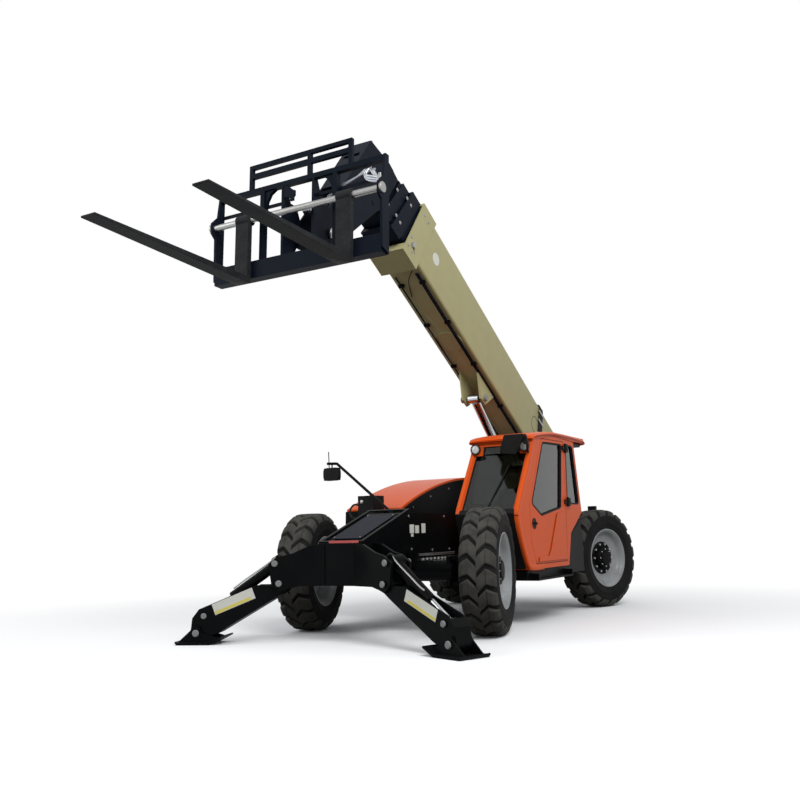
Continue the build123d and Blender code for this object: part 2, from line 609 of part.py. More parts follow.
# ---- cab shell --------------------------------------------------------------------------------------------
cab_outline = [(890, cab_bottom), (700, 920), (610, 1210), (1080, 1900), (1110, 2040), (1750, 2135),
               (2480, 2120), (2670, 1230), (2240, 980), (2120, cab_bottom)]
cab_hollow = [(925, floor_height), (750, 930), (665, 1215), (1120, 1880), (1150, 2000), (1760, 2085),
              (2440, 2072), (2618, 1255), (2205, 1010), (2085, floor_height)]
cab_width = cab_outer_x - cab_inner_x
door_outline = [(1390, 2060), (955, 1310), (965, 900), (1090, 655), (door_rear, 655), (door_rear + 40, 2075)]
door_window = [(1425, 2020), (1020, 1320), (1320, 1185), (1930, 1285), (2040, 2040)]
quarter_window = [(2180, 2045), (2400, 2045), (2560, 1330), (2150, 1330)]
inner_window = [(1300, 2000), (900, 1320), (2400, 1320), (2330, 2000)]


def panel(view, outline, amount, thickness, mode=Mode.ADD):
    """A plate whose outline is first grown outward, or shrunk for a negative amount."""
    with BuildSketch(view) as face:
        with BuildLine():
            Polyline(*outline, close=True)
        make_face()
        if amount:
            offset(amount=amount, kind=Kind.INTERSECTION)
    extrude(face.sketch, amount=thickness, mode=mode)


with BuildPart() as cab:
    plate(side_view.offset(cab_inner_x), cab_outline, cab_width)
    plate(side_view.offset(cab_inner_x + cab_wall), cab_hollow, cab_width - 2 * cab_wall, mode=Mode.SUBTRACT)
    # roof sheet that overhangs front and rear
    plate(side_view.offset(cab_inner_x - 10),
          [(1050, 2040), (1150, 2095), (1750, 2165), (2850, 2165), (2860, 2110), (2475, 2105), (1760, 2125), (1110, 2035)],
          cab_width + 20)
    panel(side_view.offset(cab_outer_x - cab_wall - 5), door_outline, door_gap, cab_wall + 30, Mode.SUBTRACT)
    panel(side_view.offset(cab_outer_x - cab_wall - 5), quarter_window, 0, cab_wall + 30, Mode.SUBTRACT)
    panel(side_view.offset(cab_inner_x - 5), inner_window, 0, cab_wall + 10, Mode.SUBTRACT)
    box((cab_inner_x + 60, 500, 1240), (cab_outer_x - 60, 1125, 1880), mode=Mode.SUBTRACT)
    box((cab_inner_x + 60, 2400, 1330), (cab_outer_x - 60, 2700, 2000), mode=Mode.SUBTRACT)
    for hinge_z in hinge_heights:
        box((cab_outer_x - 2, hinge_station, hinge_z - 50), (hinge_x + 16, hinge_station + 55, hinge_z + 50))
        with Locations((hinge_x, front_axle_y + hinge_station, hinge_z)):
            Cylinder(17, 100)
        box((cab_outer_x, hinge_station - 60, hinge_z - 28), (hinge_x + 30, hinge_station + 22, hinge_z + 28),
            mode=Mode.SUBTRACT)
        with Locations((hinge_x, front_axle_y + hinge_station, hinge_z)):
            Cylinder(8, 100)
save(cab.part, "cab_shell")

# ---- door, hung on the rear edge of its opening --------------------------------------------------------
with BuildPart() as door:
    plate(side_view.offset(cab_outer_x - cab_wall + 5), door_outline, cab_wall - 5)
    plate(side_view.offset(cab_outer_x - cab_wall), door_window, cab_wall + 5, mode=Mode.SUBTRACT)
    for hinge_z in hinge_heights:
        barrel_low = hinge_z - 28 + seat_gap
        barrel_high = hinge_z + 28 - seat_gap
        box((cab_outer_x - 10, hinge_station - 85, barrel_low), (hinge_x, hinge_station - 40, barrel_high))
        box((cab_outer_x + 3, hinge_station - 60, barrel_low), (hinge_x - 4, hinge_station, barrel_high))
        with Locations((hinge_x, front_axle_y + hinge_station, hinge_z)):
            Cylinder(16, barrel_high - barrel_low)
            Cylinder(8 + seat_gap, 100, mode=Mode.SUBTRACT)
save(door.part, "door")

with BuildPart() as door_glass:
    panel(side_view.offset(cab_outer_x - 25), door_window, -seat_gap, glass_thick)
save(door_glass.part, "door_glass")

with BuildPart() as cab_glass:
    panel(side_view.offset(cab_outer_x - 25), quarter_window, -seat_gap, glass_thick)
    panel(side_view.offset(cab_inner_x + 15), inner_window, -seat_gap, glass_thick)
    # windscreen and rear pane stand inside their openings
    lean = [(655, 1240 + seat_gap), (655 + glass_thick, 1240 + seat_gap),
            (1085 + glass_thick, 1880 - seat_gap), (1085, 1880 - seat_gap)]
    plate(side_view.offset(cab_inner_x + 60 + seat_gap), lean, cab_width - 120 - 2 * seat_gap)
    back = [(2620, 1330 + seat_gap), (2620 + glass_thick, 1330 + seat_gap),
            (2480 + glass_thick, 2000 - seat_gap), (2480, 2000 - seat_gap)]
    plate(side_view.offset(cab_inner_x + 60 + seat_gap), back, cab_width - 120 - 2 * seat_gap)
save(cab_glass.part, "cab_glass")

# ---- seat and controls ------------------------------------------------------------------------------------
cab_middle = (cab_inner_x + cab_outer_x) / 2
seat_half = 240.0
with BuildPart() as seat:
    box((cab_middle - 170, 1720, floor_height), (cab_middle + 170, 2060, 1000))
    box((cab_middle - seat_half, 1640, 1000), (cab_middle + seat_half, 2140, 1110))
    plate(side_view.offset(cab_middle - seat_half),
          [(2060, 1090), (2150, 1090), (2270, 1700), (2190, 1720)], 2 * seat_half)
save(seat.part, "seat")

with BuildPart() as controls:
    # dash under the windscreen, steering column and wheel
    plate(side_view.offset(cab_inner_x + 120),
          [(950, floor_height), (1200, floor_height), (1130, 1180), (900, 1180)], cab_width - 240)
    plate(side_view.offset(cab_middle - 40), [(1100, 1160), (1180, 1120), (1435, 1345), (1395, 1385)], 80)
    wheel_view = Plane(origin=(cab_middle, front_axle_y + 1420, 1370), x_dir=(1, 0, 0), z_dir=(0, 0.6, 0.8))
    with BuildSketch(wheel_view) as wheel_ring:
        Circle(190)
        Circle(160, mode=Mode.SUBTRACT)
        Rectangle(330, 40)
    extrude(wheel_ring.sketch, amount=25, both=True)
save(controls.part, "steering_console")

# ---- tank and step on the cab's side ------------------------------------------------------------------------
with BuildPart() as side_tank:
    plate(side_view.offset(frame_half_width + seat_gap),
          [(900, 500), (tank_rear, 500), (tank_rear, 940), (tank_rear - 80, 1120), (2300, 960),
           (2150, cab_bottom - seat_gap), (900, cab_bottom - seat_gap)],
          1120 - frame_half_width)
    box((900, 960, 480), (1230, 2060, 500))
    box((1120, 960, 500), (1230, 1000, 560))
    box((1120, 2020, 500), (1230, 2060, 560))
save(side_tank.part, "side_tank")

# ---- engine side: tub, engine and hood ------------------------------------------------------------------------
pod_outline = [(pod_front + 160, pod_bottom), (pod_front, 900), (pod_front + 20, pod_top),
               (pod_rear, pod_top), (pod_rear, pod_bottom)]
with BuildPart() as pod:
    plate(side_view.offset(pod_outer_x), pod_outline, pod_inner_x - pod_outer_x)
    inner = [(pod_front + 200, pod_bottom + pod_wall), (pod_front + 35, 905), (pod_front + 55, pod_top + 10),
             (pod_rear - pod_wall, pod_top + 10), (pod_rear - pod_wall, pod_bottom + pod_wall)]
    plate(side_view.offset(pod_outer_x + pod_wall), inner, pod_inner_x - pod_outer_x - 2 * pod_wall,
          mode=Mode.SUBTRACT)
    # bearers out to the frame, and the inner side panel that follows the hood
    for station in (1100, 2500):
        box((pod_inner_x, station, 850), (-frame_half_width - seat_gap, station + 120, 1000))
    with BuildSketch(side_view.offset(pod_inner_x)) as fence:
        with BuildLine():
            Line((930, pod_top - 200), (930, 1310))
            ThreePointArc((930, 1310), (1500, 1515), (pod_rear, 1735))
            Polyline((pod_rear, 1735), (pod_rear, pod_top - 200), (930, pod_top - 200))
        make_face()
    extrude(fence.sketch, amount=20)
save(pod.part, "engine_cover")

with BuildPart() as engine:
    box((-1050, 1150, pod_bottom + pod_wall + seat_gap), (-560, 2300, 1280))
save(engine.part, "engine_block")

hood_outer = pod_outer_x - 10
hood_inner = pod_inner_x - seat_gap
with BuildPart() as hood:
    for inset, mode in ((0, Mode.ADD), (hood_wall, Mode.SUBTRACT)):
        with BuildSketch(side_view.offset(hood_outer + inset)) as crown:
            with BuildLine():
                low = pod_top + seat_gap - (0 if inset == 0 else 5)
                Line((900 + inset, low), (900 + inset, 1325 - inset / 2))
                ThreePointArc((900 + inset, 1325 - inset / 2), (1500, 1540 - inset), (pod_rear - inset, 1760 - inset))
                Polyline((pod_rear - inset, 1760 - inset), (pod_rear - inset, low), (900 + inset, low))
            make_face()
        extrude(crown.sketch, amount=hood_inner - hood_outer - 2 * inset, mode=mode)
save(hood.part, "engine_hood")

# ---- counterweight, lamps and mirrors -----------------------------------------------------------------------------
with BuildPart() as counterweight:
    with BuildSketch(plan_view.offset(tail_bottom)) as plan:
        with BuildLine():
            Polyline((-tail_half_width, 4400), (-tail_half_width, 4800), (-tail_half_width + 150, tail_rear),
                     (tail_half_width - 150, tail_rear), (tail_half_width, 4800), (tail_half_width, 4400),
                     close=True)
        make_face()
    extrude(plan.sketch, amount=tail_top - tail_bottom)
    box((-frame_half_width - seat_gap, 4300, 600), (frame_half_width + seat_gap, frame_rear + 70, 1600),
        mode=Mode.SUBTRACT)
save(counterweight.part, "counterweight")

with BuildPart() as lamps:
    for x in (cab_inner_x + 70, cab_outer_x - 70):
        disc(Plane(origin=(x, front_axle_y + 1082.1, 1955), x_dir=(1, 0, 0), z_dir=(0, -1, 0)), (0, 0), 45, 50,
             centred=False)
    for x in (-620, 620):
        box((x - 60, tail_rear - 240, tail_top + seat_gap), (x + 60, tail_rear - 180, tail_top + 90))
save(lamps.part, "lamps")

mirror_start = Vector(-285, front_axle_y + 420, frame_top + 20)
mirror_elbow = Vector(-1300, front_axle_y + 836, 1892)
mirror_end = Vector(-1420, front_axle_y + 800, 1895)
with BuildPart() as mirrors:
    with BuildLine() as arm:
        FilletPolyline(mirror_start + Vector(0, 0, -60), mirror_start, mirror_elbow, mirror_end, radius=30)
    with BuildSketch(Plane(origin=arm.line @ 0, z_dir=arm.line % 0)):
        Circle(17)
    sweep()
    box((-285 - 30, 380, frame_top - 90), (-frame_half_width - seat_gap, 460, frame_top - 10))
    head_centre = (mirror_elbow + mirror_end) * 0.5
    with Locations((head_centre.X, head_centre.Y, head_centre.Z - 130)):
        Box(220, 40, 150)
    with Locations((head_centre.X, head_centre.Y, head_centre.Z - 35)):
        Cylinder(8, 90)
save(mirrors.part, "mirror_right")

with BuildPart() as air_box:
    box((-850, 600, 1235), (-630, pod_front - seat_gap - 10, 1470))
    plate(side_view.offset(-800), [(700, 1000), (pod_front + 5 - seat_gap, 1000),
                                   (pod_front + 17 - seat_gap, 1240), (700, 1240)], 120)
save(air_box.part, "air_box")
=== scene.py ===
"""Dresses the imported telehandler: tread, wheels, cab fittings, hoses, paint, light and camera."""
import json
import logging
import math
from collections.abc import Sequence
from dataclasses import dataclass
from enum import Enum

import bmesh
import bpy
import numpy as np
from mathutils import Matrix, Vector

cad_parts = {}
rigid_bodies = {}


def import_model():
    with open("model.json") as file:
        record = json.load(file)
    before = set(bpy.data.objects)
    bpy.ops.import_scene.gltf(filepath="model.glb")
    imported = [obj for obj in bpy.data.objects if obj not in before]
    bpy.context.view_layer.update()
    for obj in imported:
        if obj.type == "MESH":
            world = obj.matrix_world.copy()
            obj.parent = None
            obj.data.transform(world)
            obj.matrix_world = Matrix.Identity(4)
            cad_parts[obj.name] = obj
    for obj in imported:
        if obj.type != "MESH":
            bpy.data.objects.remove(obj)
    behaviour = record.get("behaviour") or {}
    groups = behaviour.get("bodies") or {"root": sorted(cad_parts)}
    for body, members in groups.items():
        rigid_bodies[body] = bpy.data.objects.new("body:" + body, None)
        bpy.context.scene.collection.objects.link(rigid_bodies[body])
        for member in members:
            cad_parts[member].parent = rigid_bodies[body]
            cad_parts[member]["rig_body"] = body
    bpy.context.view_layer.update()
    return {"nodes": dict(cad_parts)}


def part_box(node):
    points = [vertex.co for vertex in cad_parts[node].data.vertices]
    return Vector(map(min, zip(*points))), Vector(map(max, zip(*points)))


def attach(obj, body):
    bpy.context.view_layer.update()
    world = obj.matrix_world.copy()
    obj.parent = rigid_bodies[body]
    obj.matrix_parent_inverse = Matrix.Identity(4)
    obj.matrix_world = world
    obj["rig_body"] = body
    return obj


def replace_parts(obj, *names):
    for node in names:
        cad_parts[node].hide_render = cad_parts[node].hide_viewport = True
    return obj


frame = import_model()

log = logging.getLogger("telehandler")
Array = np.ndarray
Point = tuple[float, float, float]
Pair = tuple[float, float]
Points = Sequence[Point]
Pairs = Sequence[Pair]
Numbers = Sequence[float]
Rgb = tuple[float, float, float]
Color = tuple[float, float, float, float]
Socket = bpy.types.NodeSocket
Feed = Socket | float | tuple     # what a node's input can be given

# ---- sizes shared by several assemblies, in metres and degrees ----
TYRE_RADIUS = 0.635
KINGPIN_INSET = 0.2           # from the kingpin to the wheel's middle
KINGPIN_X = 0.8615
WHEELBASE = 3.595
FRONT_STEER = 13.64
REAR_STEER = -17.9
BOOM_ANGLE = 30.4
LIFT_PIN = (4.55, 2.05)       # station behind the front axle, height
LIFT_BASE = (4.1, 0.95)       # station, height
LIFT_EYE = (2.45, -0.66)      # forward along the boom, up from it
TILT_BASE = (5.62, -0.45)
TILT_PIN = (6.07, -1.415)
TILT_EYE = (0.095, 0.265)     # forward and up from the carriage's pin
CARRIAGE_TILT = 2.3
LEG_SPLAY = 21.0
LEG_ROOT = (0.61, -1.227)     # outward, station
LEG_MIDDLE = 0.121            # from the root to the leg's middle plane
DOUBLES = 1e-6                # points of a new mesh nearer than this are one
PACKED_DOUBLES = 2e-5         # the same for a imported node's loose triangles
FLAT_ANGLE = 0.6              # packed triangles that turn less than this are one flat face
BEVEL_ANGLE = 38.0            # edges that turn more than this are rounded
SMOOTH_ANGLE = 30.0           # faces that meet at less than this shade as one surface


def axle_station() -> float:
    """The y of the front axle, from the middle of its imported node."""
    low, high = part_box("front_axle")
    return (low[1] + high[1]) / 2


AXLE_Y = axle_station()


# ---- frames of reference ----
@dataclass(frozen=True)
class Basis:
    """A place with three directions, which turns local points into the machine's own frame.

    Formula: point = origin + a * first + b * second + c * third.
    """
    origin: Point
    first: Point
    second: Point
    third: Point

    def at(self, points: Array | Points) -> Array:
        """Local points of any shape (..., 3) moved into the machine's frame."""
        axes = np.array([self.first, self.second, self.third])
        return np.asarray(points, float) @ axes + np.array(self.origin)

    def shifted(self, a: float, b: float, c: float) -> "Basis":
        """The same directions from another local point."""
        return Basis(tuple(self.at((a, b, c))), self.first, self.second, self.third)

    def upright(self, a: float, b: float, c: float) -> "Basis":
        """An axis that stands straight up at a local point."""
        return Basis(self.shifted(a, b, c).origin, (0, 0, 1), (1, 0, 0), (0, 1, 0))

    def sided(self, side: int) -> "Basis":
        """The same place with its third direction to either side."""
        return Basis(self.origin, self.first, self.second, tuple(side * np.array(self.third)))

    def axle(self, side: int = 1) -> "Basis":
        """The third direction, to either side, read first, for a profile turned about it."""
        return Basis(self.origin, tuple(side * np.array(self.third)), self.first, self.second)

    def crossways(self) -> "Basis":
        """The same place with its first and third directions exchanged."""
        return Basis(self.origin, self.third, self.second, self.first)

    def mirrored(self) -> "Basis":
        """The same basis reflected to the machine's other side."""
        flip = np.array([-1.0, 1.0, 1.0])
        return Basis(*(tuple(np.array(v) * flip)
                       for v in (self.origin, self.first, self.second, self.third)))


WORLD = Basis((0, 0, 0), (1, 0, 0), (0, 1, 0), (0, 0, 1))


def side_basis(x: float = 0.0) -> Basis:
    """Local (station behind the front axle, height, outward to the left)."""
    return Basis((x, AXLE_Y, 0), (0, 1, 0), (0, 0, 1), (1, 0, 0))


def raised(origin: Point, degrees: float) -> Basis:
    """Local (forward, up, to the left) from a point, with forward raised by an angle."""
    turn = math.radians(degrees)
    return Basis(origin, (0, -math.cos(turn), math.sin(turn)), (0, math.sin(turn), math.cos(turn)),
                 (1, 0, 0))


def boom_basis() -> Basis:
    """Local (forward along the boom, up from it, to the left), from the lift pin."""
    return raised((0, AXLE_Y + LIFT_PIN[0], LIFT_PIN[1]), BOOM_ANGLE)


def carriage_basis() -> Basis:
    """Local (forward, up, to the left), from the carriage's tilt pin."""
    return raised(boom_basis().shifted(*TILT_PIN, 0).origin, CARRIAGE_TILT)


def leg_basis(side: int) -> Basis:
    """Local (outward along the outrigger, up, to the leg's front), in the leg's middle plane.

    Args:
        side: 1 for the machine's left, -1 for its right.

    Returns:
        The basis, mirrored for the right side.
    """
    turn = math.radians(LEG_SPLAY)
    basis = Basis((LEG_ROOT[0] + LEG_MIDDLE * math.sin(turn),
                   AXLE_Y + LEG_ROOT[1] + LEG_MIDDLE * math.cos(turn), 0),
                  (math.cos(turn), -math.sin(turn), 0), (0, 0, 1),
                  (-math.sin(turn), -math.cos(turn), 0))
    return basis if side > 0 else basis.mirrored()


def wheel_basis(side: int, station: float, steer: float) -> Basis:
    """Local (outward along the wheel's axle, forward round it, up), from the wheel's centre.

    Args:
        side: 1 for the machine's left, -1 for its right.
        station: distance of its axle behind the front one.
        steer: how far it is turned, in degrees.

    Returns:
        The basis.
    """
    turn = math.radians(steer)
    out = np.array([math.cos(turn), math.sin(turn), 0]) * side
    kingpin = np.array([side * KINGPIN_X, AXLE_Y + station, TYRE_RADIUS])
    ahead = (math.sin(turn), -math.cos(turn), 0)
    return Basis(tuple(kingpin + KINGPIN_INSET * out), tuple(out), ahead, (0, 0, 1))


# ---- meshes from arrays ----
@dataclass
class Shape:
    """Points and faces of one mesh, which can be added to others."""
    points: Array
    faces: list[tuple[int, ...]]

    def __add__(self, other: "Shape") -> "Shape":
        """Both shapes in one."""
        return merged([self, other])


def merged(shapes: list[Shape]) -> Shape:
    """Many shapes in one, joined once.

    Formula: every face's indices grow by the number of points before its own shape.

    Args:
        shapes: the shapes in order.

    Returns:
        The one shape.
    """
    starts = np.cumsum([0] + [len(s.points) for s in shapes]).tolist()
    faces = [tuple(i + start for i in f) for s, start in zip(shapes, starts) for f in s.faces]
    return Shape(np.vstack([s.points for s in shapes]), faces)


def grid(points: Array, close_rows: bool = False, close_columns: bool = False) -> Shape:
    """Quads over a grid of points.

    Formula: face (i, j) joins points (i, j), (i, j+1), (i+1, j+1) and (i+1, j), wrapped where it
    is closed.

    Args:
        points: array (rows, columns, 3).
        close_rows: the last row joins the first.
        close_columns: the last column joins the first.

    Returns:
        The shape with rows times columns points.
    """
    rows, columns = points.shape[:2]
    index = np.arange(rows * columns).reshape(rows, columns)
    if close_rows:
        index = np.vstack([index, index[:1]])
    if close_columns:
        index = np.hstack([index, index[:, :1]])
    quads = np.stack([index[:-1, :-1], index[:-1, 1:], index[1:, 1:], index[1:, :-1]], axis=-1)
    return Shape(points.reshape(-1, 3), [tuple(q) for q in quads.reshape(-1, 4).tolist()])


def repeated(faces: Array, copies: int, size: int) -> list[tuple[int, ...]]:
    """The faces of one form for many copies of it.

    Formula: index of a copy = index of the form + copy * size.

    Args:
        faces: array (faces, corners) of the form.
        copies: how many copies follow each other.
        size: points in the form.

    Returns:
        The faces of all copies.
    """
    faces = np.asarray(faces)
    starts = np.arange(copies)[:, None, None] * size
    return [tuple(f) for f in (faces[None] + starts).reshape(-1, faces.shape[1]).tolist()]


def turned(profile: Pairs, basis: Basis, segments: int = 64) -> Shape:
    """A profile turned round the basis' first direction.

    Formula: point (u, angle) = along(u) on the first axis, radius(u) * (cos, sin) on the other two.

    Args:
        profile: points (along the axis, radius).
        basis: where the axis lies.
        segments: steps round the axis.

    Returns:
        The shape.
    """
    line = np.array(profile)
    angle = np.linspace(0, 2 * math.pi, segments, endpoint=False)
    reach = np.repeat(line[:, :1], segments, axis=1)
    local = np.stack([reach, line[:, 1:] * np.cos(angle), line[:, 1:] * np.sin(angle)], axis=-1)
    return grid(basis.at(local), close_columns=True)


def slab(outline: Pairs, low: float, high: float, basis: Basis) -> Shape:
    """A flat plate with a drawn outline.

    Formula: point = (outline, z), for z at the low and the high face.

    Args:
        outline: corners in the basis' first two directions.
        low: its lower face along the third direction.
        high: its upper face.
        basis: where it lies.

    Returns:
        The closed shape.
    """
    flat = np.array(outline)
    count = len(flat)
    points = np.vstack([np.column_stack([flat, np.full(count, z)]) for z in (low, high)])
    ring = np.arange(count)
    after = (ring + 1) % count
    walls = np.stack([ring, after, after + count, ring + count], axis=-1)
    faces = repeated(walls, 1, 0) + repeated([ring[::-1]], 1, 0) + repeated([ring + count], 1, 0)
    return Shape(basis.at(points), faces)


CORNERS = np.array([(x, y, z) for x in (-0.5, 0.5) for y in (-0.5, 0.5) for z in (-0.5, 0.5)])
SIDES = [(0, 1, 3, 2), (4, 6, 7, 5), (0, 4, 5, 1), (2, 3, 7, 6), (0, 2, 6, 4), (1, 5, 7, 3)]
CROWN_SHARE = 0.8             # a stud's shoulder height and crown radius, as shares of its own


def blocks(centres: Array | Points, sizes: Points, basis: Basis) -> Shape:
    """Rectangular blocks at many places at once.

    Formula: corner = centre + size * (one half of plus or minus one on each axis).

    Args:
        centres: one local point or many.
        sizes: one size for all blocks, or one for each.
        basis: where they lie.

    Returns:
        The closed shapes in one.
    """
    centres = np.atleast_2d(centres).astype(float)
    sizes = np.broadcast_to(np.asarray(sizes, float), centres.shape)
    points = centres[:, None, :] + CORNERS[None] * sizes[:, None, :]
    return Shape(basis.at(points.reshape(-1, 3)), repeated(SIDES, len(centres), len(CORNERS)))


def studs(centres: Array | Points, radius: float, height: float, basis: Basis,
          sides: int = 6) -> Shape:
    """Bolt heads or round buttons at many places, standing along the basis' third direction.

    Formula: ring point = centre + radius * (cos, sin), at the foot, the shoulder and the crown.

    Args:
        centres: one local point or many, at the foot.
        radius: the foot's radius.
        height: from the foot to the crown.
        basis: where they lie.
        sides: 6 for a hexagon, more for a round head.

    Returns:
        The closed shapes in one.
    """
    centres = np.atleast_2d(centres).astype(float)
    foot = np.column_stack([circle(radius, sides), np.zeros(sides)])
    rings = np.concatenate([foot, foot + (0, 0, height * CROWN_SHARE),
                            foot * CROWN_SHARE + (0, 0, height)])
    points = centres[:, None, :] + rings[None]
    ring = np.arange(sides)
    after = (ring + 1) % sides
    walls = np.stack([ring, after, after + sides, ring + sides], -1)
    faces = [face for form in (np.concatenate([walls, walls + sides]), [ring + 2 * sides],
                               [ring[::-1]])
             for face in repeated(form, len(centres), len(rings))]
    return Shape(basis.at(points.reshape(-1, 3)), faces)


def smooth_path(points: Points, steps: int = 8) -> Array:
    """A path through points with rounded turns.

    Formula: the Catmull-Rom curve, a cubic between each pair of points whose slopes are half the
    difference of the neighbours.

    Args:
        points: the points that the path passes.
        steps: points on each span.

    Returns:
        Array (points, 3).
    """
    knots = np.array(points, float)
    ends = np.vstack([2 * knots[0] - knots[1], knots, 2 * knots[-1] - knots[-2]])
    t = np.linspace(0, 1, steps, endpoint=False)[:, None]
    spans = [0.5 * (2 * b + (c - a) * t + (2 * a - 5 * b + 4 * c - d) * t ** 2
                    + (3 * b - a - 3 * c + d) * t ** 3)
             for a, b, c, d in zip(ends[:-3], ends[1:-2], ends[2:-1], ends[3:])]
    return np.vstack(spans + [knots[-1:]])


def along(path: Array, section: Array) -> Shape:
    """A closed section carried along a path, with both ends closed.

    Formula: point (i, j) = path(i) + section(j).a * across(i) + section(j).b * up(i), where across
    is the path's direction crossed with the upright, and up is across crossed with the direction.
    Where the path itself stands upright, the machine's left takes the upright's place.

    Args:
        path: array (points, 3) in the machine's frame.
        section: array (points, 2).

    Returns:
        The closed shape.
    """
    slope = np.gradient(path, axis=0)
    slope /= np.linalg.norm(slope, axis=1, keepdims=True)
    across = np.cross(slope, (0.0, 0.0, 1.0))
    thin = np.linalg.norm(across, axis=1) < 1e-3
    across[thin] = np.cross(slope[thin], (1.0, 0.0, 0.0))
    across /= np.linalg.norm(across, axis=1, keepdims=True)
    up = np.cross(across, slope)
    points = (path[:, None, :] + section[None, :, :1] * across[:, None, :]
              + section[None, :, 1:] * up[:, None, :])
    body = grid(points, close_columns=True)
    count = len(section)
    last = len(path) * count - count
    body.faces += [tuple(range(count)), tuple(range(last + count - 1, last - 1, -1))]
    return body


def circle(radius: float, sides: int = 10) -> Array:
    """A round section of a hose or bar, as radius * (cos, sin)."""
    angle = np.linspace(0, 2 * math.pi, sides, endpoint=False)
    return np.stack([np.cos(angle), np.sin(angle)], axis=-1) * radius


def hose(points: Points, radius: float, basis: Basis) -> Shape:
    """A round hose, wire or bent bar through local points."""
    return along(basis.at(smooth_path(points)), circle(radius))


def hoses(runs: Sequence[Points], radius: float, basis: Basis) -> Shape:
    """Several hoses of one radius in one shape."""
    return merged([hose(run, radius, basis) for run in runs])


def bars(points: Points, radius: float, basis: Basis) -> Shape:
    """Straight round bars from point to point, which overlap at each turn."""
    places = basis.at(points)
    return merged([along(np.array(ends), circle(radius)) for ends in zip(places[:-1], places[1:])])


def inset(outline: Pairs, width: float) -> Array:
    """An outline moved inward, or outward by a negative width.

    Formula: each corner moves along the mean of its two edges' inward normals, by the width over
    the cosine of half the turn.

    Args:
        outline: the corners in order.
        width: how far each edge moves.

    Returns:
        Array (corners, 2).
    """
    loop = np.array(outline)
    edge = np.roll(loop, -1, axis=0) - loop
    edge /= np.linalg.norm(edge, axis=1, keepdims=True)
    ahead = np.roll(loop, -1, axis=0)
    area = np.sum(loop[:, 0] * ahead[:, 1] - loop[:, 1] * ahead[:, 0])
    normal = np.stack([-edge[:, 1], edge[:, 0]], axis=-1) * np.sign(area)
    bisector = normal + np.roll(normal, 1, axis=0)
    bisector /= np.sum(bisector * normal, axis=1, keepdims=True)
    return loop + bisector * width


def band(outline: Pairs, width: float, low: float, high: float, basis: Basis) -> Shape:
    """A flat closed band that follows an outline inward, such as a gasket round a pane.

    Formula: four rings, the outline and its inset, each at the low and the high face.

    Args:
        outline: the corners in order.
        width: the band's width.
        low: its lower face along the third direction.
        high: its upper face.
        basis: where it lies.

    Returns:
        The closed shape.
    """
    loop, inner = np.array(outline), inset(outline, width)
    rings = np.stack([np.column_stack([r, np.full(len(loop), z)])
                      for r, z in ((loop, low), (loop, high), (inner, high), (inner, low))])
    return grid(basis.at(rings), close_rows=True, close_columns=True)


def rounded(outline: Pairs, radius: float | Numbers, steps: int = 7) -> list[Pair]:
    """An outline whose corners are rounded.

    Formula: each corner becomes points of a quadratic curve that leaves and meets its two edges at
    the distance radius over the tangent of half the corner's angle, held under half an edge.

    Args:
        outline: the corners in order.
        radius: one radius for all corners, or one for each.
        steps: points on each rounded corner.

    Returns:
        The points of the rounded outline.
    """
    corners = np.array(outline, float)
    radii = np.broadcast_to(np.asarray(radius, float), len(corners))
    before, after = np.roll(corners, 1, axis=0) - corners, np.roll(corners, -1, axis=0) - corners
    lengths = [np.linalg.norm(v, axis=1) for v in (before, after)]
    before, after = before / lengths[0][:, None], after / lengths[1][:, None]
    half = np.arccos(np.clip(np.sum(before * after, axis=1), -0.999, 0.999)) / 2
    cut = np.minimum(radii / np.tan(half), 0.48 * np.minimum(*lengths))[:, None]
    t = np.linspace(0, 1, steps)[None, :, None]
    start, end = (corners + before * cut)[:, None], (corners + after * cut)[:, None]
    curve = start * (1 - t) ** 2 + 2 * corners[:, None] * t * (1 - t) + end * t ** 2
    return [tuple(q) for q in curve.reshape(-1, 2).tolist()]


@dataclass(frozen=True)
class PinHead:
    """A round pin head with a chamfered crown."""
    radius: float
    shoulder: float
    rise: float
    chamfer: float
    segments: int = 28

    def pair(self, middle: Basis, reach: float, place: Pair) -> Shape:
        """Heads on both ends of a pin that lies along the basis' third direction.

        Args:
            middle: a basis in the pin's middle plane.
            reach: from that plane to each head's foot.
            place: the pin's place in the first two directions.

        Returns:
            Both heads in one shape.
        """
        crown = self.radius - self.chamfer
        profile = [(0.0, 0.0), (0.0, self.radius), (self.shoulder, self.radius),
                   (self.rise, crown), (self.rise, 0.0)]
        return merged([turned(profile, middle.axle(side).shifted(reach, *place), self.segments)
                       for side in (1, -1)])


class Edge(Enum):
    """How wide a finished mesh's rounded edges are."""
    SHARP = 0.0
    FINE = 0.0015
    PLATE = 0.004
    CAST = 0.009
    ROUND = 0.02


def linked(name: str, data: bpy.types.ID) -> bpy.types.Object:
    """A new object in the scene.

    Args:
        name: the object's name.
        data: its mesh, lamp or camera.

    Returns:
        The object.
    """
    holder = bpy.data.objects.new(name, data)
    bpy.context.scene.collection.objects.link(holder)
    return holder


def shade(mesh: bpy.types.Mesh, angle: float) -> None:
    """Smooth shading, with the edges sharp that turn more than an angle in degrees."""
    mesh.shade_smooth()
    mesh.set_sharp_from_angle(angle=math.radians(angle))


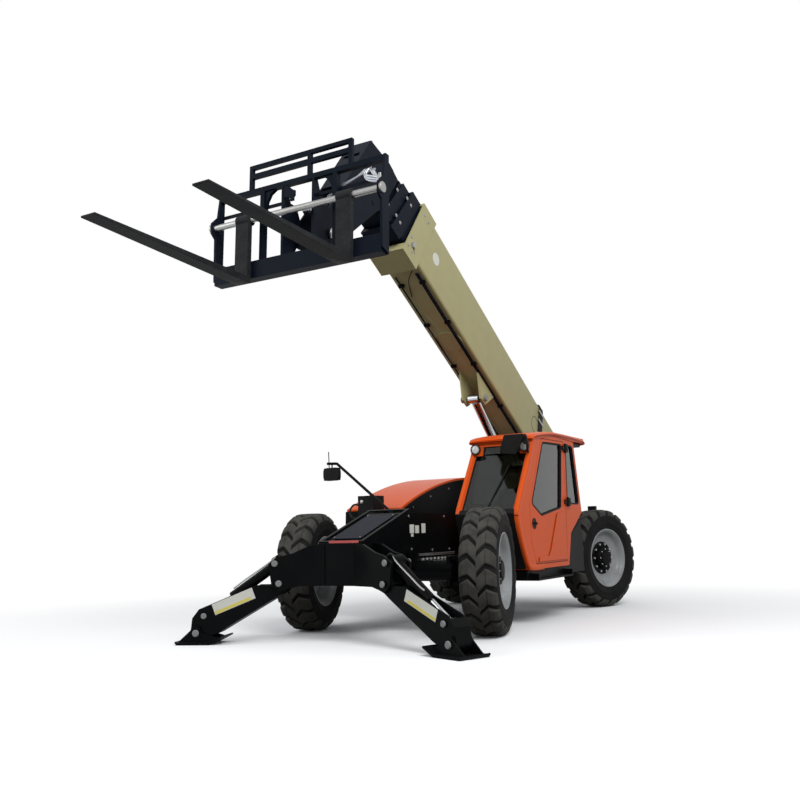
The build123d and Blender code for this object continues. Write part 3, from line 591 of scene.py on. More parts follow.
def mesh_of(name: str, shape: Shape, smooth_angle: float = SMOOTH_ANGLE) -> bpy.types.Mesh:
    """A shape as a mesh whose doubled points are closed and whose faces point outwards.

    Args:
        name: the mesh's name.
        shape: points and faces.
        smooth_angle: faces that meet at less than this are shaded as one surface.

    Returns:
        The mesh.
    """
    mesh = bpy.data.meshes.new(name)
    mesh.from_pydata(shape.points.tolist(), [], shape.faces)
    work = bmesh.new()
    work.from_mesh(mesh)
    bmesh.ops.remove_doubles(work, verts=work.verts, dist=DOUBLES)
    bmesh.ops.recalc_face_normals(work, faces=work.faces)
    work.to_mesh(mesh)
    work.free()
    shade(mesh, smooth_angle)
    mesh.update()
    return mesh


def dressed(piece: bpy.types.Object, finish: "Finish", body: str, edge: Edge) -> bpy.types.Object:
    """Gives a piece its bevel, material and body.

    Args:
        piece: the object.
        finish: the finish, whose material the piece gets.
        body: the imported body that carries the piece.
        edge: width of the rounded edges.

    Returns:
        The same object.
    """
    if edge is not Edge.SHARP:
        bevel = piece.modifiers.new("rounded edges", "BEVEL")
        bevel.width = edge.value
        bevel.segments = 2
        bevel.limit_method = "ANGLE"
        bevel.angle_limit = math.radians(BEVEL_ANGLE)
        bevel.harden_normals = True
    piece.data.materials.clear()
    piece.data.materials.append(finish.material())
    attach(piece, body)
    log.info("%s rides on %s", piece.name, body)
    return piece


def make(name: str, shape: Shape, finish: "Finish", body: str, edge: Edge = Edge.SHARP,
         smooth_angle: float = 35.0) -> bpy.types.Object:
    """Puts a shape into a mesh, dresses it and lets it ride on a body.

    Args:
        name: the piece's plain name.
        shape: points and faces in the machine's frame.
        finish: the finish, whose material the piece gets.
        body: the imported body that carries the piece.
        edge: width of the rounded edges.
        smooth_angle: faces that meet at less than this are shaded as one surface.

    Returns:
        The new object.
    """
    return dressed(linked(name, mesh_of(name, shape, smooth_angle)), finish, body, edge)


def stand_in(node: str, name: str, mesh: bpy.types.Mesh, finish: "Finish", body: str,
             edge: Edge) -> bpy.types.Object:
    """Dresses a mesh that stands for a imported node.

    Args:
        node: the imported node.
        name: the piece's plain name.
        mesh: its mesh in the machine's frame.
        finish: its finish.
        body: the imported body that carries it.
        edge: width of the rounded edges.

    Returns:
        The new object.
    """
    shade(mesh, SMOOTH_ANGLE)
    piece = dressed(linked(name, mesh), finish, body, edge)
    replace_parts(piece, node)
    return piece


def carve(mesh: bpy.types.Mesh, cutters: list[Shape]) -> bpy.types.Mesh:
    """A mesh with other shapes cut out of it.

    Args:
        mesh: a closed mesh.
        cutters: closed shapes in the machine's frame.

    Returns:
        The new mesh.
    """
    body = linked("carved body", mesh)
    holders = [body]
    for shape in cutters:
        tool = linked("cutter", mesh_of("cutter", shape))
        cut = body.modifiers.new("cut", "BOOLEAN")
        cut.operation, cut.solver, cut.object = "DIFFERENCE", "EXACT", tool
        holders.append(tool)
    graph = bpy.context.evaluated_depsgraph_get()
    graph.update()
    result = bpy.data.meshes.new_from_object(body.evaluated_get(graph))
    for holder in holders:
        bpy.data.objects.remove(holder)
    return result


def recut(node: str, finish: "Finish", edge: Edge,
          cutters: list[Shape] | None = None) -> bpy.types.Object:
    """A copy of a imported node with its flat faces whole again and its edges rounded.

    Args:
        node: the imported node, which the copy stands for.
        finish: its finish.
        edge: width of the rounded edges.
        cutters: closed shapes that are cut out of it.

    Returns:
        The new object.
    """
    source = frame["nodes"][node]
    mesh = source.data.copy()
    work = bmesh.new()
    work.from_mesh(mesh)
    bmesh.ops.remove_doubles(work, verts=work.verts, dist=PACKED_DOUBLES)
    bmesh.ops.dissolve_limit(work, angle_limit=math.radians(FLAT_ANGLE), verts=work.verts,
                             edges=work.edges)
    work.to_mesh(mesh)
    work.free()
    if cutters:
        mesh = carve(mesh, cutters)
    return stand_in(node, f"{node}_dressed", mesh, finish, source["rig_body"], edge)


def recut_all(nodes: Sequence[str], finish: "Finish", edge: Edge) -> None:
    """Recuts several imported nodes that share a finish."""
    for node in nodes:
        recut(node, finish, edge)


# ---- finishes ----
class Wiring:
    """Adds nodes to a tree and joins them with few words."""

    def __init__(self, tree: bpy.types.NodeTree) -> None:
        """Starts on a tree, new or emptied."""
        self.tree = tree

    def add(self, kind: str, values: dict | None = None, **settings: object) -> bpy.types.Node:
        """A node with its settings, and its inputs given as values or as other nodes' outputs.

        Args:
            kind: the node's type.
            values: input name or number to a value or an output socket.
            settings: the node's own options.

        Returns:
            The node.
        """
        node = self.tree.nodes.new(kind)
        for key, value in settings.items():
            setattr(node, key, value)
        for key, value in (values or {}).items():
            if isinstance(value, Socket):
                self.tree.links.new(value, node.inputs[key])
            else:
                node.inputs[key].default_value = value
        return node

    def noise(self, where: Socket, scale: Feed, detail: float = 4.0) -> Socket:
        """A cloudy value between nought and one."""
        return self.add("ShaderNodeTexNoise",
                        {"Vector": where, "Scale": scale, "Detail": detail}).outputs[0]

    def spread(self, value: Feed, low: float, high: float, to_low: float = 0.0,
               to_high: float = 1.0) -> Socket:
        """A value moved from one range to another, and held inside it."""
        return self.add("ShaderNodeMapRange", {"Value": value, "From Min": low, "From Max": high,
                                               "To Min": to_low, "To Max": to_high}).outputs[0]

    def maths(self, operation: str, a: Feed, b: Feed = 0.0) -> Socket:
        """One sum, product or other operation on two values."""
        return self.add("ShaderNodeMath", {0: a, 1: b}, operation=operation).outputs[0]

    def blend(self, share: Feed, first: Feed, second: Feed) -> Socket:
        """The first colour turning into the second as the share grows."""
        mix = self.add("ShaderNodeMix", {0: share, 6: first, 7: second}, data_type="RGBA")
        return mix.outputs[2]

    def place(self) -> Socket:
        """The surface's own place in the machine's frame."""
        return self.add("ShaderNodeTexCoord").outputs["Object"]

    def seen(self) -> Socket:
        """One where the camera, a reflection or glass looks, nought where light bounces.

        Returns:
            The value's socket.
        """
        path = self.add("ShaderNodeLightPath").outputs
        through = self.maths("ADD", path["Is Glossy Ray"], path["Is Transmission Ray"])
        return self.maths("MINIMUM", self.maths("ADD", path["Is Camera Ray"], through), 1.0)

    def put(self, value: Socket, target: Socket) -> None:
        """Joins an output to an input."""
        self.tree.links.new(value, target)


@dataclass(frozen=True)
class Group:
    """A shader group that is being wired: its tree, what it is given and what it puts out."""
    wiring: Wiring
    given: bpy.types.NodeOutputs
    result: bpy.types.NodeInputs

    @classmethod
    def started(cls, name: str, inputs: dict[str, object], outputs: dict[str, str]) -> "Group":
        """Starts a shader group with named sockets.

        Args:
            name: the group's name.
            inputs: socket name to its default, a number or a colour.
            outputs: socket name to its kind, Float or Color.

        Returns:
            The group, ready for its nodes.
        """
        tree = bpy.data.node_groups.new(name, "ShaderNodeTree")
        for label, default in inputs.items():
            kind = "NodeSocketColor" if isinstance(default, tuple) else "NodeSocketFloat"
            socket = tree.interface.new_socket(name=label, in_out="INPUT", socket_type=kind)
            socket.default_value = default
        for label, kind in outputs.items():
            tree.interface.new_socket(name=label, in_out="OUTPUT", socket_type=f"NodeSocket{kind}")
        wiring = Wiring(tree)
        given, result = wiring.add("NodeGroupInput"), wiring.add("NodeGroupOutput")
        return cls(wiring, given.outputs, result.inputs)


def dust_group() -> bpy.types.NodeTree:
    """Dust that lies on what faces up and gathers low down, over a slightly uneven colour.

    Formula: share = amount * facing * nearness to the ground * cloudy patches, held under one.

    Returns:
        The group's tree.
    """
    group = Group.started(
        "dust and fading",
        {"Color": (0.5, 0.5, 0.5, 1), "Dust Color": (0.42, 0.38, 0.32, 1), "Amount": 0.3,
         "Roughness": 0.4, "Fading": 0.1, "Scale": 6.0},
        {"Color": "Color", "Roughness": "Float"})
    w, given = group.wiring, group.given
    place = w.place()
    cloud = w.noise(place, given["Scale"], 6.0)
    fine = w.noise(place, w.maths("MULTIPLY", given["Scale"], 9.0), 3.0)
    normal = w.add("ShaderNodeNewGeometry").outputs["Normal"]
    up = w.add("ShaderNodeSeparateXYZ", {0: normal}).outputs[2]
    height = w.add("ShaderNodeSeparateXYZ", {0: place}).outputs[2]
    facing = w.spread(up, -0.1, 0.9, 0.12, 1.0)
    near_ground = w.spread(height, 1.5, 0.1, 0.25, 1.0)
    mottle = w.maths("ADD", w.maths("MULTIPLY", cloud, 0.7), w.maths("MULTIPLY", fine, 0.3))
    patches = w.spread(mottle, 0.38, 0.66)
    settled = w.maths("MULTIPLY", w.maths("MULTIPLY", facing, near_ground), patches)
    held = w.maths("MINIMUM", w.maths("MULTIPLY", settled, 1.6), 1.0)
    share = w.maths("MULTIPLY", held, given["Amount"])
    faded = w.blend(w.maths("MULTIPLY", w.spread(cloud, 0.35, 0.65), given["Fading"]),
                    given["Color"], given["Dust Color"])
    w.put(w.blend(share, faded, given["Dust Color"]), group.result["Color"])
    rough = w.add("ShaderNodeMix", {0: share, 2: given["Roughness"], 3: 0.93}).outputs[0]
    w.put(rough, group.result["Roughness"])
    return w.tree


def scuff_group() -> bpy.types.NodeTree:
    """Long thin scratches and chips that show another colour, with their depth.

    Formula: share = amount * the larger of stretched noise and fine noise, each cut off sharply.

    Returns:
        The group's tree.
    """
    group = Group.started(
        "scuffs",
        {"Color": (0.5, 0.5, 0.5, 1), "Under Color": (0.4, 0.4, 0.42, 1), "Amount": 0.2,
         "Scale": 5.0},
        {"Color": "Color", "Height": "Float"})
    w, given = group.wiring, group.given
    place = w.place()
    stretched = w.add("ShaderNodeMapping", {"Vector": place, "Rotation": (0.3, 0.2, 0.5),
                                            "Scale": (1.0, 0.16, 1.0)}).outputs[0]
    lines = w.noise(stretched, w.maths("MULTIPLY", given["Scale"], 7.0), 8.0)
    chips = w.noise(place, w.maths("MULTIPLY", given["Scale"], 3.0), 10.0)
    marks = w.maths("MAXIMUM", w.spread(lines, 0.6, 0.66), w.spread(chips, 0.63, 0.66))
    share = w.maths("MULTIPLY", marks, given["Amount"])
    w.put(w.blend(share, given["Color"], given["Under Color"]), group.result["Color"])
    w.put(w.maths("SUBTRACT", 1.0, share), group.result["Height"])
    return w.tree


def grain_group() -> bpy.types.NodeTree:
    """Fine grain of a cast, sprayed or moulded surface, as a height.

    Returns:
        The group's tree.
    """
    group = Group.started("fine grain", {"Scale": 200.0, "Softness": 0.5}, {"Height": "Float"})
    w, given = group.wiring, group.given
    place = w.place()
    fine = w.noise(place, given["Scale"], 3.0)
    wide = w.noise(place, w.maths("MULTIPLY", given["Scale"], 0.12), 2.0)
    both = w.add("ShaderNodeMix", {0: given["Softness"], 2: fine, 3: wide}).outputs[0]
    w.put(both, group.result["Height"])
    return w.tree


def weave_group() -> bpy.types.NodeTree:
    """Crossed threads of a woven cloth, as a height.

    Returns:
        The group's tree.
    """
    group = Group.started("weave", {"Scale": 180.0}, {"Height": "Float"})
    w = group.wiring
    threads = {"Vector": w.place(), "Scale": group.given["Scale"], "Distortion": 0.4}
    warp, weft = (w.add("ShaderNodeTexWave", threads, bands_direction=way).outputs["Fac"]
                  for way in ("X", "Z"))
    w.put(w.maths("MULTIPLY", warp, weft), group.result["Height"])
    return w.tree


GROUPS = {"dust": dust_group(), "scuff": scuff_group(), "grain": grain_group(),
          "weave": weave_group()}


class Kind(Enum):
    """The families of finish, which differ in how the surface is lit."""
    PAINT = "paint"
    METAL = "metal"
    RUBBER = "rubber"
    CLOTH = "cloth"
    GLASS = "glass"
    LENS = "lens"


@dataclass(frozen=True)
class Finish:
    """One finish of the machine and how it is worn."""
    name: str
    slot: str
    kind: Kind
    color: Rgb
    roughness: float = 0.4
    coat: float = 0.0
    dust: float = 0.2
    dust_color: Rgb = (0.36, 0.33, 0.28)
    fading: float = 0.08
    scuffs: float = 0.05
    under: Rgb = (0.33, 0.33, 0.34)
    grain: float = 260.0
    bump: float = 0.05
    patch_scale: float = 5.0
    specular: float = 0.3

    def material(self) -> bpy.types.Material:
        """The finish's material, made once.

        Returns:
            The material.
        """
        known = bpy.data.materials.get(self.name)
        if known:
            return known
        material = bpy.data.materials.new(self.name)
        material.use_nodes = True
        material.node_tree.nodes.clear()
        w = Wiring(material.node_tree)
        inputs = self.glazed(w) if self.kind is Kind.GLASS else self.coated(w)
        shader = w.add("ShaderNodeBsdfPrincipled", {"Specular IOR Level": self.specular, **inputs})
        w.add("ShaderNodeOutputMaterial", {"Surface": shader.outputs[0]})
        return material

    def glazed(self, w: Wiring) -> dict[str, object]:
        """Clear tinted glass with a thin film of dust that dulls its colour.

        Args:
            w: the material's wiring.

        Returns:
            The shader's inputs.
        """
        film = w.spread(w.noise(w.place(), 3.0, 5.0), 0.4, 0.75)
        dulled = tuple(c * 0.9 for c in self.color)
        return {"Transmission Weight": 1.0, "IOR": 1.45, "Roughness": self.roughness,
                "Base Color": w.blend(film, (*self.color, 1), (*dulled, 1))}

    def coated(self, w: Wiring) -> dict[str, object]:
        """Colour with scuffs and dust, and grain under the light.

        Args:
            w: the material's wiring.

        Returns:
            The shader's inputs.
        """
        scuff = w.add("ShaderNodeGroup", {
            "Color": (*self.color, 1), "Under Color": (*self.under, 1), "Amount": self.scuffs,
            "Scale": self.patch_scale}, node_tree=GROUPS["scuff"]).outputs
        dust = w.add("ShaderNodeGroup", {
            "Color": scuff["Color"], "Dust Color": (*self.dust_color, 1), "Amount": self.dust,
            "Fading": self.fading, "Roughness": self.roughness,
            "Scale": self.patch_scale}, node_tree=GROUPS["dust"]).outputs
        grain = w.add("ShaderNodeGroup", {"Scale": self.grain},
                      node_tree=GROUPS["weave" if self.kind is Kind.CLOTH else "grain"]).outputs
        height = w.maths("ADD", grain["Height"], w.maths("MULTIPLY", scuff["Height"], 0.5))
        bump = w.add("ShaderNodeBump", {"Height": height, "Strength": self.bump,
                                        "Distance": 0.002}).outputs
        inputs = {"Base Color": dust["Color"], "Roughness": dust["Roughness"],
                  "Normal": bump["Normal"]}
        if self.kind is Kind.METAL:
            inputs["Metallic"] = 1.0
        if self.kind is Kind.LENS:
            inputs["Coat Weight"] = 1.0
        if self.coat:
            inputs |= {"Coat Weight": self.coat, "Coat Roughness": 0.12}
        return inputs


ORANGE = Finish(
    "orange paint", "orange_paint", Kind.PAINT, (0.66, 0.083, 0.009), 0.34, dust=0.07,
    dust_color=(0.4, 0.15, 0.07), fading=0.05, scuffs=0.015, specular=0.08)
BEIGE = Finish(
    "beige paint", "beige_paint", Kind.PAINT, (0.39, 0.365, 0.185), 0.44, dust=0.2,
    dust_color=(0.26, 0.22, 0.13), fading=0.1, scuffs=0.05, under=(0.2, 0.165, 0.1), specular=0.12)
NAVY = Finish(
    "blue-black paint", "navy_paint", Kind.PAINT, (0.0038, 0.0065, 0.0125), 0.46, dust=0.06,
    dust_color=(0.02, 0.024, 0.032), fading=0.1, scuffs=0.04, under=(0.02, 0.023, 0.03),
    specular=0.04)
BLACK = Finish(
    "black paint", "black_paint", Kind.PAINT, (0.0025, 0.0028, 0.0032), 0.4, dust=0.08,
    dust_color=(0.018, 0.018, 0.017), fading=0.06, scuffs=0.04, under=(0.02, 0.02, 0.02),
    specular=0.04)
FORK = Finish(
    "worn fork steel", "fork_steel", Kind.PAINT, (0.014, 0.0155, 0.0175), 0.52, dust=0.18,
    dust_color=(0.05, 0.05, 0.048), fading=0.2, scuffs=0.22, under=(0.055, 0.055, 0.057), bump=0.2,
    patch_scale=7.0, specular=0.05)
SILVER = Finish(
    "silver wheel paint", "rim_paint", Kind.PAINT, (0.27, 0.285, 0.29), 0.38, coat=0.1, dust=0.5,
    dust_color=(0.1, 0.095, 0.085), fading=0.2, scuffs=0.08, specular=0.35)
CARCASS = Finish(
    "tyre side rubber", "tyre", Kind.RUBBER, (0.009, 0.009, 0.0095), 0.75, dust=0.35,
    dust_color=(0.035, 0.033, 0.03), fading=0.15, scuffs=0.05, under=(0.02, 0.02, 0.02), bump=0.25,
    grain=120.0, specular=0.06)
TREAD = Finish(
    "tyre tread rubber", "tyre", Kind.RUBBER, (0.036, 0.036, 0.033), 0.88, dust=0.5,
    dust_color=(0.085, 0.08, 0.07), fading=0.4, scuffs=0.2, under=(0.055, 0.053, 0.048), bump=0.5,
    grain=90.0, patch_scale=9.0, specular=0.15)
CHROME = Finish(
    "chrome", "chrome_rod", Kind.METAL, (0.5, 0.51, 0.53), 0.16, dust=0.12, fading=0.03,
    dust_color=(0.12, 0.115, 0.1), scuffs=0.06, under=(0.2, 0.2, 0.2), bump=0.01, specular=0.5)
ZINC = Finish(
    "bare steel", "chrome_rod", Kind.METAL, (0.36, 0.36, 0.355), 0.36, dust=0.15, fading=0.1,
    dust_color=(0.15, 0.14, 0.12), scuffs=0.15, under=(0.2, 0.19, 0.17), bump=0.1, specular=0.5)
GLAZING = Finish(
    "tinted glass", "tinted_glass", Kind.GLASS, (0.095, 0.115, 0.105), 0.0, specular=0.07)
FABRIC = Finish(
    "seat cloth", "seat_fabric", Kind.CLOTH, (0.018, 0.018, 0.02), 0.85, dust=0.1, fading=0.1,
    dust_color=(0.05, 0.05, 0.045), scuffs=0.0, grain=180.0, bump=0.5, specular=0.15)
PLASTIC = Finish(
    "black plastic", "black_plastic", Kind.PAINT, (0.0065, 0.0065, 0.007), 0.48, dust=0.15,
    dust_color=(0.032, 0.031, 0.028), fading=0.1, scuffs=0.05, under=(0.025, 0.025, 0.025),
    grain=420.0, bump=0.3, specular=0.08)
GASKET = Finish(
    "gasket rubber", "black_plastic", Kind.RUBBER, (0.005, 0.005, 0.005), 0.65, dust=0.12,
    dust_color=(0.03, 0.03, 0.028), scuffs=0.0, bump=0.1, specular=0.15)
HOSE = Finish(
    "hose rubber", "black_plastic", Kind.RUBBER, (0.006, 0.006, 0.0065), 0.55, dust=0.18,
    dust_color=(0.035, 0.034, 0.03), scuffs=0.02, grain=500.0, bump=0.3, specular=0.2)
BRAID = Finish(
    "steel-braided hose", "chrome_rod", Kind.METAL, (0.48, 0.5, 0.54), 0.42, dust=0.1,
    dust_color=(0.12, 0.12, 0.12), scuffs=0.1, under=(0.2, 0.2, 0.2), grain=700.0, bump=0.6)
LENS = Finish(
    "clear lens", "lamp_lens", Kind.LENS, (0.55, 0.55, 0.53), 0.12, dust=0.1, scuffs=0.0, bump=0.02)
AMBER = Finish(
    "amber lens", "lamp_lens", Kind.LENS, (0.7, 0.17, 0.01), 0.15, dust=0.1, scuffs=0.0, bump=0.02)
RED = Finish(
    "red reflector", "lamp_lens", Kind.LENS, (0.42, 0.015, 0.01), 0.25, dust=0.1, scuffs=0.0,
    bump=0.05)
LABEL = Finish(
    "blank white label", "lamp_lens", Kind.PAINT, (0.66, 0.66, 0.6), 0.45, dust=0.15, fading=0.08,
    dust_color=(0.3, 0.29, 0.25), scuffs=0.06, under=(0.3, 0.3, 0.28), bump=0.02)
YELLOW = Finish(
    "yellow stripe", "lamp_lens", Kind.PAINT, (0.7, 0.6, 0.12), 0.45, dust=0.15, fading=0.1,
    dust_color=(0.3, 0.27, 0.16), scuffs=0.04, bump=0.02)
PIN = Finish(
    "grey pin paint", "chrome_rod", Kind.PAINT, (0.22, 0.225, 0.22), 0.45, dust=0.3, fading=0.1,
    dust_color=(0.1, 0.095, 0.085), scuffs=0.15, under=(0.1, 0.1, 0.1), bump=0.1)
IRON = Finish(
    "engine casting", "engine_iron", Kind.PAINT, (0.02, 0.02, 0.02), 0.6, dust=0.3, fading=0.2,
    dust_color=(0.05, 0.048, 0.042), scuffs=0.1, grain=140.0, bump=0.5, specular=0.2)
MIRROR = Finish(
    "mirror glass", "chrome_rod", Kind.METAL, (0.75, 0.77, 0.78), 0.04, dust=0.03, scuffs=0.0,
    bump=0.0)


# ---- wheels ----
@dataclass
class Wheel:
    """One wheel: tyre side, tread blocks, rim, hub and nuts."""
    name: str
    side: int
    station: float
    steer: float
    pitches: int = 20
    segments: int = 96
    foot_sink: float = 0.004      # how far a block's foot lies under the groove's floor
    hub_segments: int = 48
    # across the tread and out from the axle, from the middle to the shoulder
    crown: Pairs = (
        (0.0, 0.635), (0.1, 0.6335), (0.14, 0.627), (0.162, 0.611), (0.177, 0.586), (0.1835, 0.556))
    groove: Pairs = (
        (0.0, 0.606), (0.1, 0.6045), (0.138, 0.598), (0.156, 0.588), (0.168, 0.572), (0.177, 0.552))
    # each block: reach inner, reach outer, start inner, start outer, thick inner, thick outer
    blocks: Sequence[Numbers] = (
        (-0.04, 0.38, 0.0, 0.5, 0.74, 0.72), (0.38, 1.0, 0.5, 0.24, 0.72, 0.64))
    # along the axle and out from it
    sidewall: Pairs = (
        (0.15, 0.3565), (0.166, 0.371), (0.1765, 0.405), (0.1825, 0.445), (0.1865, 0.452),
        (0.1865, 0.459), (0.1835, 0.466), (0.185, 0.51), (0.1825, 0.54))
    rim: Pairs = (
        (0.16, 0.3815), (0.15, 0.3565), (-0.15, 0.3565), (-0.162, 0.3815), (-0.17, 0.379),
        (-0.172, 0.366), (-0.156, 0.345), (-0.1, 0.332), (0.03, 0.325), (0.044, 0.31),
        (0.044, 0.15), (0.062, 0.15), (0.064, 0.236), (0.076, 0.262), (0.082, 0.292), (0.1, 0.316),
        (0.122, 0.324), (0.132, 0.333), (0.15, 0.34), (0.158, 0.352), (0.172, 0.366),
        (0.171, 0.378), (0.16, 0.3815))
    hub: Pairs = (
        (0.02, 0.0), (0.02, 0.14), (0.062, 0.148), (0.062, 0.212), (0.07, 0.212), (0.072, 0.146),
        (0.118, 0.139), (0.128, 0.128), (0.132, 0.1), (0.147, 0.092), (0.15, 0.06), (0.151, 0.0))
    valve: Points = ((0.168, 0.352, 0.0), (0.18, 0.345, 0.0), (0.196, 0.338, 0.0))
    valve_radius: float = 0.005

    @property
    def body(self) -> str:
        """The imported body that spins."""
        return f"wheel_{self.name}"

    @property
    def basis(self) -> Basis:
        """The wheel's own directions."""
        return wheel_basis(self.side, self.station, self.steer)

    def tread(self) -> Shape:
        """Every tread block of the tyre at once.

        Formula: inside a block, s runs from the centre outwards and t round the tyre. Reach across
        the tread and phase round it are blends of the block's four corners. The point lies between
        the crown's profile and the groove's profile by a depth that is one at the foot and nought
        on top, and turns round the axle by the phase in pitches.

        Returns:
            The blocks in one shape.
        """
        s = np.array([-0.05, 0.0, 0.05, 0.35, 0.65, 0.95, 1.0, 1.05])
        t = np.array([-0.05, 0.0, 0.07, 0.36, 0.64, 0.93, 1.0, 1.05])
        sink = np.array([1.0, 0.2, 0.0, 0.0, 0.0, 0.0, 0.2, 1.0])
        depth = np.maximum(sink[:, None], sink[None, :])
        crown, groove = np.array(self.crown), np.array(self.groove)
        length = np.concatenate([[0], np.cumsum(np.linalg.norm(np.diff(crown, axis=0), axis=1))])
        length /= length[-1]
        table = np.array([(hand, *row) for hand in (1, -1) for row in self.blocks])
        hand, near, far, start_near, start_far, thick_near, thick_far = table.T[:, :, None, None]
        reach = near + (far - near) * s[None, :, None] + 0 * t[None, None, :]
        start = start_near + (start_far - start_near) * s[None, :, None]
        thick = thick_near + (thick_far - thick_near) * s[None, :, None]
        phase = start + thick * t[None, None, :] + np.where(hand > 0, 0.0, 0.5)
        clipped = np.clip(reach, 0, 1)
        across = [np.interp(clipped, length, p[:, 0]) for p in (crown, groove)]
        radius = [np.interp(clipped, length, p[:, 1]) for p in (crown, groove)]
        x = hand * (across[0] * (1 - depth) + across[1] * depth)
        r = radius[0] * (1 - depth) + (radius[1] - self.foot_sink) * depth
        steps = np.arange(self.pitches)[:, None, None, None]
        turn = (phase[None] + steps) * 2 * math.pi / self.pitches
        points = np.stack([np.broadcast_to(x, turn.shape), r * np.cos(turn), r * np.sin(turn)],
                          axis=-1)
        points = self.basis.at(points.reshape(-1, len(s) * len(t), 3))
        index = np.arange(len(s) * len(t)).reshape(len(s), len(t))
        quads = grid(np.zeros((len(s), len(t), 3))).faces
        rim = np.concatenate([index[0, :], index[1:, -1], index[-1, -2::-1], index[-2:0:-1, 0]])
        faces = [face for form in (quads, [rim])
                 for face in repeated(form, len(points), index.size)]
        return Shape(points.reshape(-1, 3), faces)

    def carcass(self) -> Shape:
        """The tyre's sides and the floor of its grooves, closed at the beads.

        Formula: the sidewall and the groove's profile with their mirror image, turned round the
        axle, and a last ring of faces from bead to bead.

        Returns:
            The closed shape.
        """
        half = [*self.sidewall, *self.groove[:0:-1]]
        profile = half + [self.groove[0]] + [(-x, r) for x, r in reversed(half)]
        shape = turned(profile, self.basis, self.segments)
        first = np.arange(self.segments)
        last = first + (len(profile) - 1) * self.segments
        quads = np.stack([first, np.roll(first, -1), np.roll(last, -1), last], -1)
        return Shape(shape.points, shape.faces + repeated(quads, 1, 0))

    def bolts(self, count: int, reach: float, foot: float, radius: float, height: float) -> Shape:
        """Bolt heads on a circle, standing along the wheel's axle.

        Formula: centre = reach * (cos, sin) of equal steps round the axle, at the foot along it.

        Args:
            count: how many.
            reach: the circle's radius.
            foot: where they stand along the axle.
            radius: each head's radius.
            height: each head's height.

        Returns:
            The heads in one shape.
        """
        angle = np.arange(count) * 2 * math.pi / count
        own = self.basis
        face = Basis(own.origin, own.second, own.third, own.first)
        ring = np.column_stack([reach * np.cos(angle), reach * np.sin(angle), np.full(count, foot)])
        return studs(ring, radius, height, face)

    def build(self) -> None:
        """Makes the wheel's pieces."""
        name, body, own = self.name, self.body, self.basis
        make(f"tread_{name}", self.tread(), TREAD, body, smooth_angle=28)
        carcass = make(f"tyre_side_{name}", self.carcass(), CARCASS, body, smooth_angle=50)
        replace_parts(carcass, f"tyre_{name}")
        rim = make(f"rim_dressed_{name}", turned(self.rim, own, self.segments), SILVER, body,
                   smooth_angle=42)
        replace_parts(rim, f"rim_{name}")
        make(f"hub_{name}", turned(self.hub, own, self.hub_segments), BLACK, body, smooth_angle=40)
        nuts = self.bolts(count=10, reach=0.182, foot=0.069, radius=0.016, height=0.026)
        caps = self.bolts(count=8, reach=0.112, foot=0.129, radius=0.009, height=0.008)
        make(f"wheel_nuts_{name}", nuts + caps, ZINC, body, smooth_angle=30)
        make(f"valve_{name}", hose(self.valve, self.valve_radius, own), GASKET, body)


